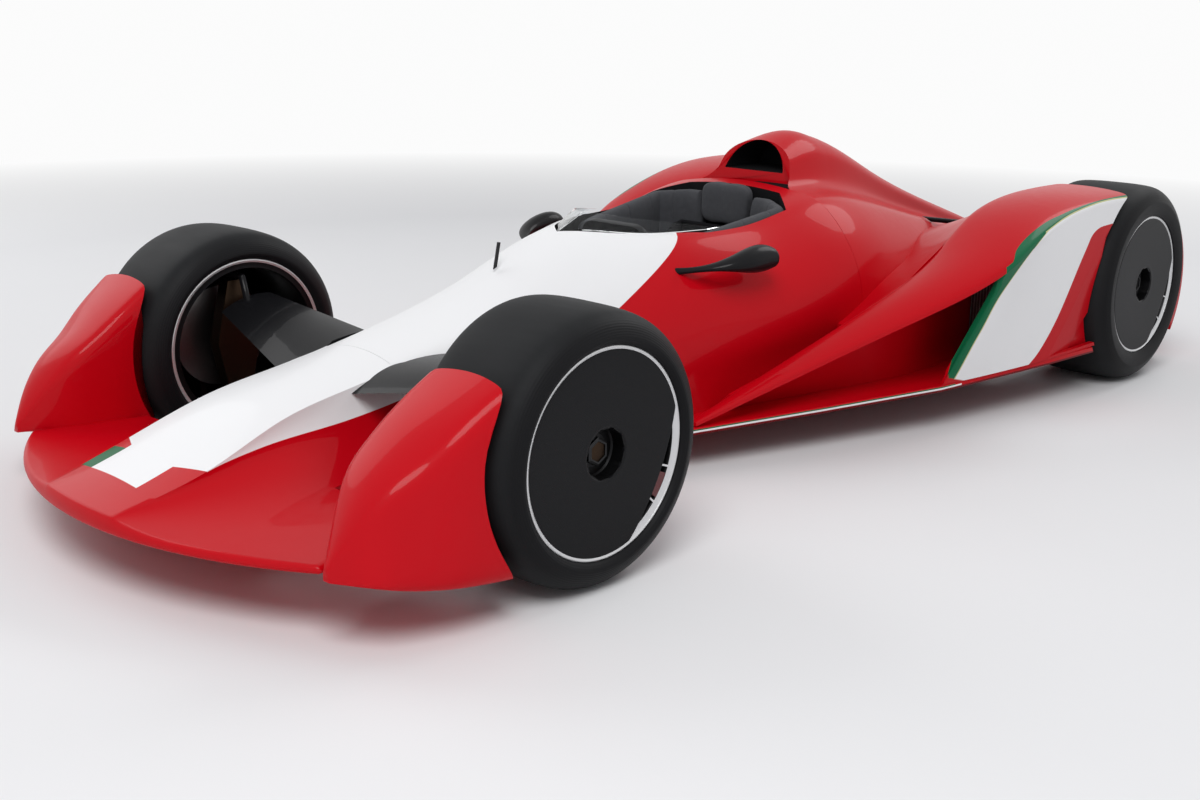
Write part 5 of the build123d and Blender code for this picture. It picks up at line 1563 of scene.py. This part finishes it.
# CAD shapes that are right as they are: node, piece, finish, slot, radius of the edges, body
TAIL_COPIES = (
    ("rear_fairings", "fairings", "red_paint", "body_paint", 0.003, "chassis"),
    ("tail_cone", "tail", "red_paint", "body_paint", 0.0, "chassis"),
    ("diffuser", "rear_diffuser", "carbon", "carbon", 0.0015, "chassis"),
    ("floor", "floor_plate", "floor_paint", "carbon", 0.004, "chassis"))
COCKPIT_COPIES = (
    ("seat", "seat_shell", "satin_carbon", "carbon", 0.0, "chassis"),
    ("dashboard", "dash_panel", "dash", "carbon", 0.002, "chassis"),
    ("steering_wheel", "hand_wheel", "satin_carbon", "carbon", 0.001, "steering_wheel"),
    ("steering_column", "column", "dark_steel", "dark_steel", 0.0, "chassis"))
SCREEN_COPIES = (
    ("windscreen", "screen", "clear_screen", "clear_screen", 0.0, "chassis"),
    ("mirrors", "mirror_pods", "carbon", "carbon", 0.0, "chassis"),
    ("mirror_glasses", "mirror_faces", "mirror_glass", "mirror_glass", 0.0, "chassis"),
    ("speed_probe", "probe", "dark_steel", "dark_steel", 0.0, "chassis"))
ARM_COPIES = (
    ("front_upper_arms", "upper_arms", "carbon", "carbon", 0.0, "chassis"),
    ("front_lower_arms", "lower_arms", "carbon", "carbon", 0.0, "chassis"),
    ("rear_arms", "back_arms", "carbon", "carbon", 0.0, "chassis"),
    ("rear_uprights", "back_uprights", "bronze", "bronze_alloy", 0.002, "chassis"))
# The same for both sides, whose name is added to node, piece and body
CORNER_COPIES = (
    ("front_knuckle", "upright", "bronze", "bronze_alloy", 0.002, "knuckle"),
    ("brake_disc", "disc", "disc_steel", "disc_steel", 0.001, "front_wheel"),
    ("rear_driveshaft", "shaft", "dark_steel", "dark_steel", 0.001, "rear_wheel"))


def add_copies(rows, end=""):
    """Adds copies of CAD nodes with finish and body, end added to their names; rows' slots are not used."""
    for node, piece, finish, slot, width, body in rows:
        copy = cad_copy(node + end, piece + end, width)
        paint(copy, finish_of(finish), body + end, [node + end])


def outer_face(end):
    """Distance from the car's middle to the outer face of a rim."""
    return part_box(end + "_tyre_left")[1].x - RIM_INSET


def wheels():
    """Each wheel's end and side, body, sign of x, centre, tyre radius and tyre width."""
    found = []
    for side, way in SIDES:
        for end, y, radius, width in AXLES:
            low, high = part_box(end + "_tyre_" + side)
            centre = ((low.x + high.x) / 2, y, radius)
            found.append((end, side, f"{end}_wheel_{side}", way, centre, radius, width))
    return found


class CAR_OT_nose(bpy.types.Operator):
    """Adds the nose cone with its splitter."""

    bl_idname = "car.nose"
    bl_label = "Nose cone"

    def execute(self, context):
        paint(nose_surface(), finish_of("nose_paint"), nodes=["nose_cone"])
        return {"FINISHED"}


class CAR_OT_tub(bpy.types.Operator):
    """Adds the tub with its cockpit opening."""

    bl_idname = "car.tub"
    bl_label = "Tub"

    def execute(self, context):
        paint(tub_piece(), finish_of("tub_paint"), nodes=["tub"])
        return {"FINISHED"}


class CAR_OT_cover(bpy.types.Operator):
    """Adds the engine cover with the airbox opening."""

    bl_idname = "car.cover"
    bl_label = "Engine cover"

    def execute(self, context):
        paint(cover_piece(), finish_of("cover_paint"), nodes=["engine_cover"])
        return {"FINISHED"}


class CAR_OT_deflectors(bpy.types.Operator):
    """Adds the deflector pods ahead of the front wheels."""

    bl_idname = "car.deflectors"
    bl_label = "Front deflectors"

    def execute(self, context):
        left = pod_piece("deflector_left")
        paint(left, finish_of("red_paint"), nodes=["front_deflectors"])
        paint(reflected("deflector_right", left), finish_of("red_paint"))
        return {"FINISHED"}


class CAR_OT_arches(bpy.types.Operator):
    """Adds the rear arches and the striped side panels."""

    bl_idname = "car.arches"
    bl_label = "Arches and side panels"

    def execute(self, context):
        arch, panel = arch_pieces()
        arch.name, panel.name = "arch_skin_left", "panel_skin_left"
        side_paint = finish_of("side_paint")
        other_arch = reflected("arch_skin_right", arch)
        other_panel = reflected("panel_skin_right", panel)
        paint(arch, side_paint, nodes=["arch_left"])
        paint(other_arch, side_paint, nodes=["arch_right"])
        paint(panel, side_paint, nodes=["side_panels"])
        paint(other_panel, side_paint)
        return {"FINISHED"}


class CAR_OT_tail(bpy.types.Operator):
    """Adds the rear fairings, tail cone, diffuser and floor."""

    bl_idname = "car.tail"
    bl_label = "Tail and floor"

    def execute(self, context):
        add_copies(TAIL_COPIES)
        return {"FINISHED"}


class CAR_OT_cockpit(bpy.types.Operator):
    """Adds padding, seat, dashboard, steering wheel and column."""

    bl_idname = "car.cockpit"
    bl_label = "Cockpit"

    def execute(self, context):
        rail = padded_rail("padded_rail_left")
        pieces = (rail, reflected("padded_rail_right", rail), headrest_pad("headrest_pad"))
        for piece in pieces:
            paint(piece, finish_of("padding"))
        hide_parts("cockpit_padding")
        add_copies(COCKPIT_COPIES)
        return {"FINISHED"}


class CAR_OT_screen(bpy.types.Operator):
    """Adds the windscreen, the mirrors and the speed probe."""

    bl_idname = "car.screen"
    bl_label = "Screen, mirrors and probe"

    def execute(self, context):
        add_copies(SCREEN_COPIES)
        return {"FINISHED"}


class CAR_OT_suspension(bpy.types.Operator):
    """Adds the arms, uprights, brake discs and driveshafts."""

    bl_idname = "car.suspension"
    bl_label = "Suspension"

    def execute(self, context):
        add_copies(ARM_COPIES)
        for side, _ in SIDES:
            add_copies(CORNER_COPIES, "_" + side)
        return {"FINISHED"}


class CAR_OT_wheels(bpy.types.Operator):
    """Adds tyres, rims with their spokes, and covers."""

    bl_idname = "car.wheels"
    bl_label = "Wheels"

    def execute(self, context):
        steel, silver = finish_of("dark_steel"), finish_of("tab_metal")
        for end, side, body, way, centre, radius, width in wheels():
            tail = f"{end}_{side}"
            tyre = tyre_piece("slick_" + tail, centre, radius, width)
            paint(tyre, finish_of(end + "_rubber"), body, [f"{end}_tyre_{side}"])
            rim = finish_of(end + "_rim")
            barrel = rim_piece("barrel_" + tail, centre, width, way)
            paint(barrel, rim, body, [f"{end}_rim_{side}"])
            paint(spoke_piece("spokes_" + tail, centre, width, way), rim, body)
            paint(nut_piece("nut_" + tail, centre, width, way), steel, body)
            paint(tab_piece("tabs_" + tail, centre, width, way), silver, body)
            if end == "front":
                plate = plate_piece("plate_" + tail, centre, width, way)
                paint(plate, finish_of("rim_plate"), body)
            cover = cover_disc("cover_" + tail, centre, width, way)
            paint(cover, finish_of("charcoal"), body, [f"{end}_wheel_cover_{side}"])
        return {"FINISHED"}


class CAR_OT_machinery(bpy.types.Operator):
    """Gives engine, gearbox and radiators their finishes."""

    bl_idname = "car.machinery"
    bl_label = "Machinery"

    def execute(self, context):
        dress("engine", finish_of("block_metal"))
        dress("gearbox", finish_of("block_metal"))
        dress("radiators", finish_of("radiator_core"))
        return {"FINISHED"}


def stage_floor(chosen):
    """Pale floor that fades into the backdrop with the distance from the middle."""
    half = chosen.floor_size / 2
    pale, black = (0.84, 0.84, 0.85), (0, 0, 0)
    floor = build("stage_floor", np.array([
        [(-half, -half, 0.0), (half, -half, 0.0)], [(-half, half, 0.0), (half, half, 0.0)]]),
        ring=False, crease=30)
    made = Finish("stage_floor", pale, 0.6, **{"Specular IOR Level": 0.0, "Emission Strength": 1.0})
    x, y, z = made.position()
    far = (((x * x + y * y).power(0.5) - chosen.fade_from) / chosen.fade_over).clamp()
    near = made.mix(made.noise(3.0) * 0.3, pale, (0.81, 0.81, 0.82))
    made.feed(
        Base_Color=made.mix(far, near, black),
        Emission_Color=made.mix(far, black, tuple(chosen.backdrop)))
    floor.data.materials.append(made.material)
    return floor


def stage_world(chosen):
    """Soft light all round; the camera, mirrors and glass see the backdrop's colour instead."""
    world = bpy.data.worlds.new("stage_world")
    world.use_nodes = True
    nodes, links = world.node_tree.nodes, world.node_tree.links
    around = nodes["Background"]
    around.inputs["Color"].default_value = (0.96, 0.97, 1.0, 1.0)
    around.inputs["Strength"].default_value = chosen.surroundings
    seen = nodes.new("ShaderNodeBackground")
    seen.inputs["Color"].default_value = (*chosen.backdrop, 1.0)
    rays, pick = nodes.new("ShaderNodeLightPath"), nodes.new("ShaderNodeMixShader")
    direct = Wire(world.node_tree, rays.outputs["Is Camera Ray"])
    mirrored = Wire(world.node_tree, rays.outputs["Is Glossy Ray"])
    through_glass = Wire(world.node_tree, rays.outputs["Is Transmission Ray"])
    links.new(direct.larger(mirrored).larger(through_glass).socket, pick.inputs[0])
    links.new(around.outputs[0], pick.inputs[1])
    links.new(seen.outputs[0], pick.inputs[2])
    links.new(pick.outputs[0], nodes["World Output"].inputs["Surface"])
    return world


def lamp(name, place, aim, size, power):
    """Round area lamp aimed at a point."""
    light = bpy.data.lights.new(name, "AREA")
    light.shape = "DISK"
    light.size = size
    light.energy = power
    made = bpy.data.objects.new(name, light)
    made.location = place
    made.rotation_euler = (Vector(aim) - Vector(place)).to_track_quat("-Z", "Y").to_euler()
    bpy.context.scene.collection.objects.link(made)
    return made


def photo_camera(lens):
    """Camera of the photograph, from its place and its turn about the upright, level and long axes."""
    view = bpy.data.cameras.new("photo_view")
    view.sensor_width = 36.0
    view.lens = lens
    view.shift_y = CAMERA_SHIFT
    camera = bpy.data.objects.new("photo_view", view)
    yaw, pitch, roll = CAMERA_TURN
    level = math.cos(pitch)
    ahead = Vector((-math.sin(yaw) * level, math.cos(yaw) * level, -math.sin(pitch)))
    right = Vector((math.cos(yaw), math.sin(yaw), 0))
    up = right.cross(ahead)
    right, up = (
        math.cos(roll) * right + math.sin(roll) * up, math.cos(roll) * up - math.sin(roll) * right)
    turn = Matrix((right, up, -ahead)).transposed().to_4x4()
    camera.matrix_world = Matrix.Translation(CAMERA_PLACE) @ turn
    bpy.context.scene.collection.objects.link(camera)
    return camera


class CAR_OT_stage(bpy.types.Operator):
    """Adds the pale floor, soft lights and the camera of the photograph."""

    bl_idname = "car.stage"
    bl_label = "Stage"

    def execute(self, context):
        chosen = context.scene.car_stage
        floor = stage_floor(chosen)
        context.scene.world = stage_world(chosen)
        lamps = [lamp(*row) for row in LAMPS]
        context.scene.camera = photo_camera(chosen.lens)
        context.scene.view_settings.view_transform = "Standard"
        return {"FINISHED"}


class CAR_PT_panel(bpy.types.Panel):
    """Sidebar panel with the settings and one button for each group of pieces."""

    bl_label = "Racing car"
    bl_idname = "CAR_PT_panel"
    bl_space_type = "VIEW_3D"
    bl_region_type = "UI"
    bl_category = "Racing car"

    def draw(self, context):
        scene = context.scene
        for group in (scene.car_colours, scene.car_wheels, scene.car_stage):
            for name in group.__annotations__:
                self.layout.prop(group, name)
        for operator in OPERATORS:
            self.layout.operator(operator.bl_idname)


SETTINGS = (CarColours, CarWheels, CarStage)
OPERATORS = (
    CAR_OT_nose, CAR_OT_tub, CAR_OT_cover, CAR_OT_deflectors, CAR_OT_arches, CAR_OT_tail, CAR_OT_cockpit,
    CAR_OT_screen, CAR_OT_suspension, CAR_OT_wheels, CAR_OT_machinery, CAR_OT_stage)


def register():
    """Registers settings, operators and panel."""
    for item in (*SETTINGS, *OPERATORS, CAR_PT_panel):
        bpy.utils.register_class(item)
    bpy.types.Scene.car_colours = PointerProperty(type=CarColours)
    bpy.types.Scene.car_wheels = PointerProperty(type=CarWheels)
    bpy.types.Scene.car_stage = PointerProperty(type=CarStage)


def unregister():
    """Takes back everything that register added."""
    for name in ("car_colours", "car_wheels", "car_stage"):
        delattr(bpy.types.Scene, name)
    for item in reversed((*SETTINGS, *OPERATORS, CAR_PT_panel)):
        bpy.utils.unregister_class(item)


def main():
    register()
    for operator in OPERATORS:
        group, name = operator.bl_idname.split(".")
        result = getattr(getattr(bpy.ops, group), name)()
        if result != {"FINISHED"}:
            raise RuntimeError(f"{operator.bl_idname} gave {result}")


if __name__ == "__main__":
    main()
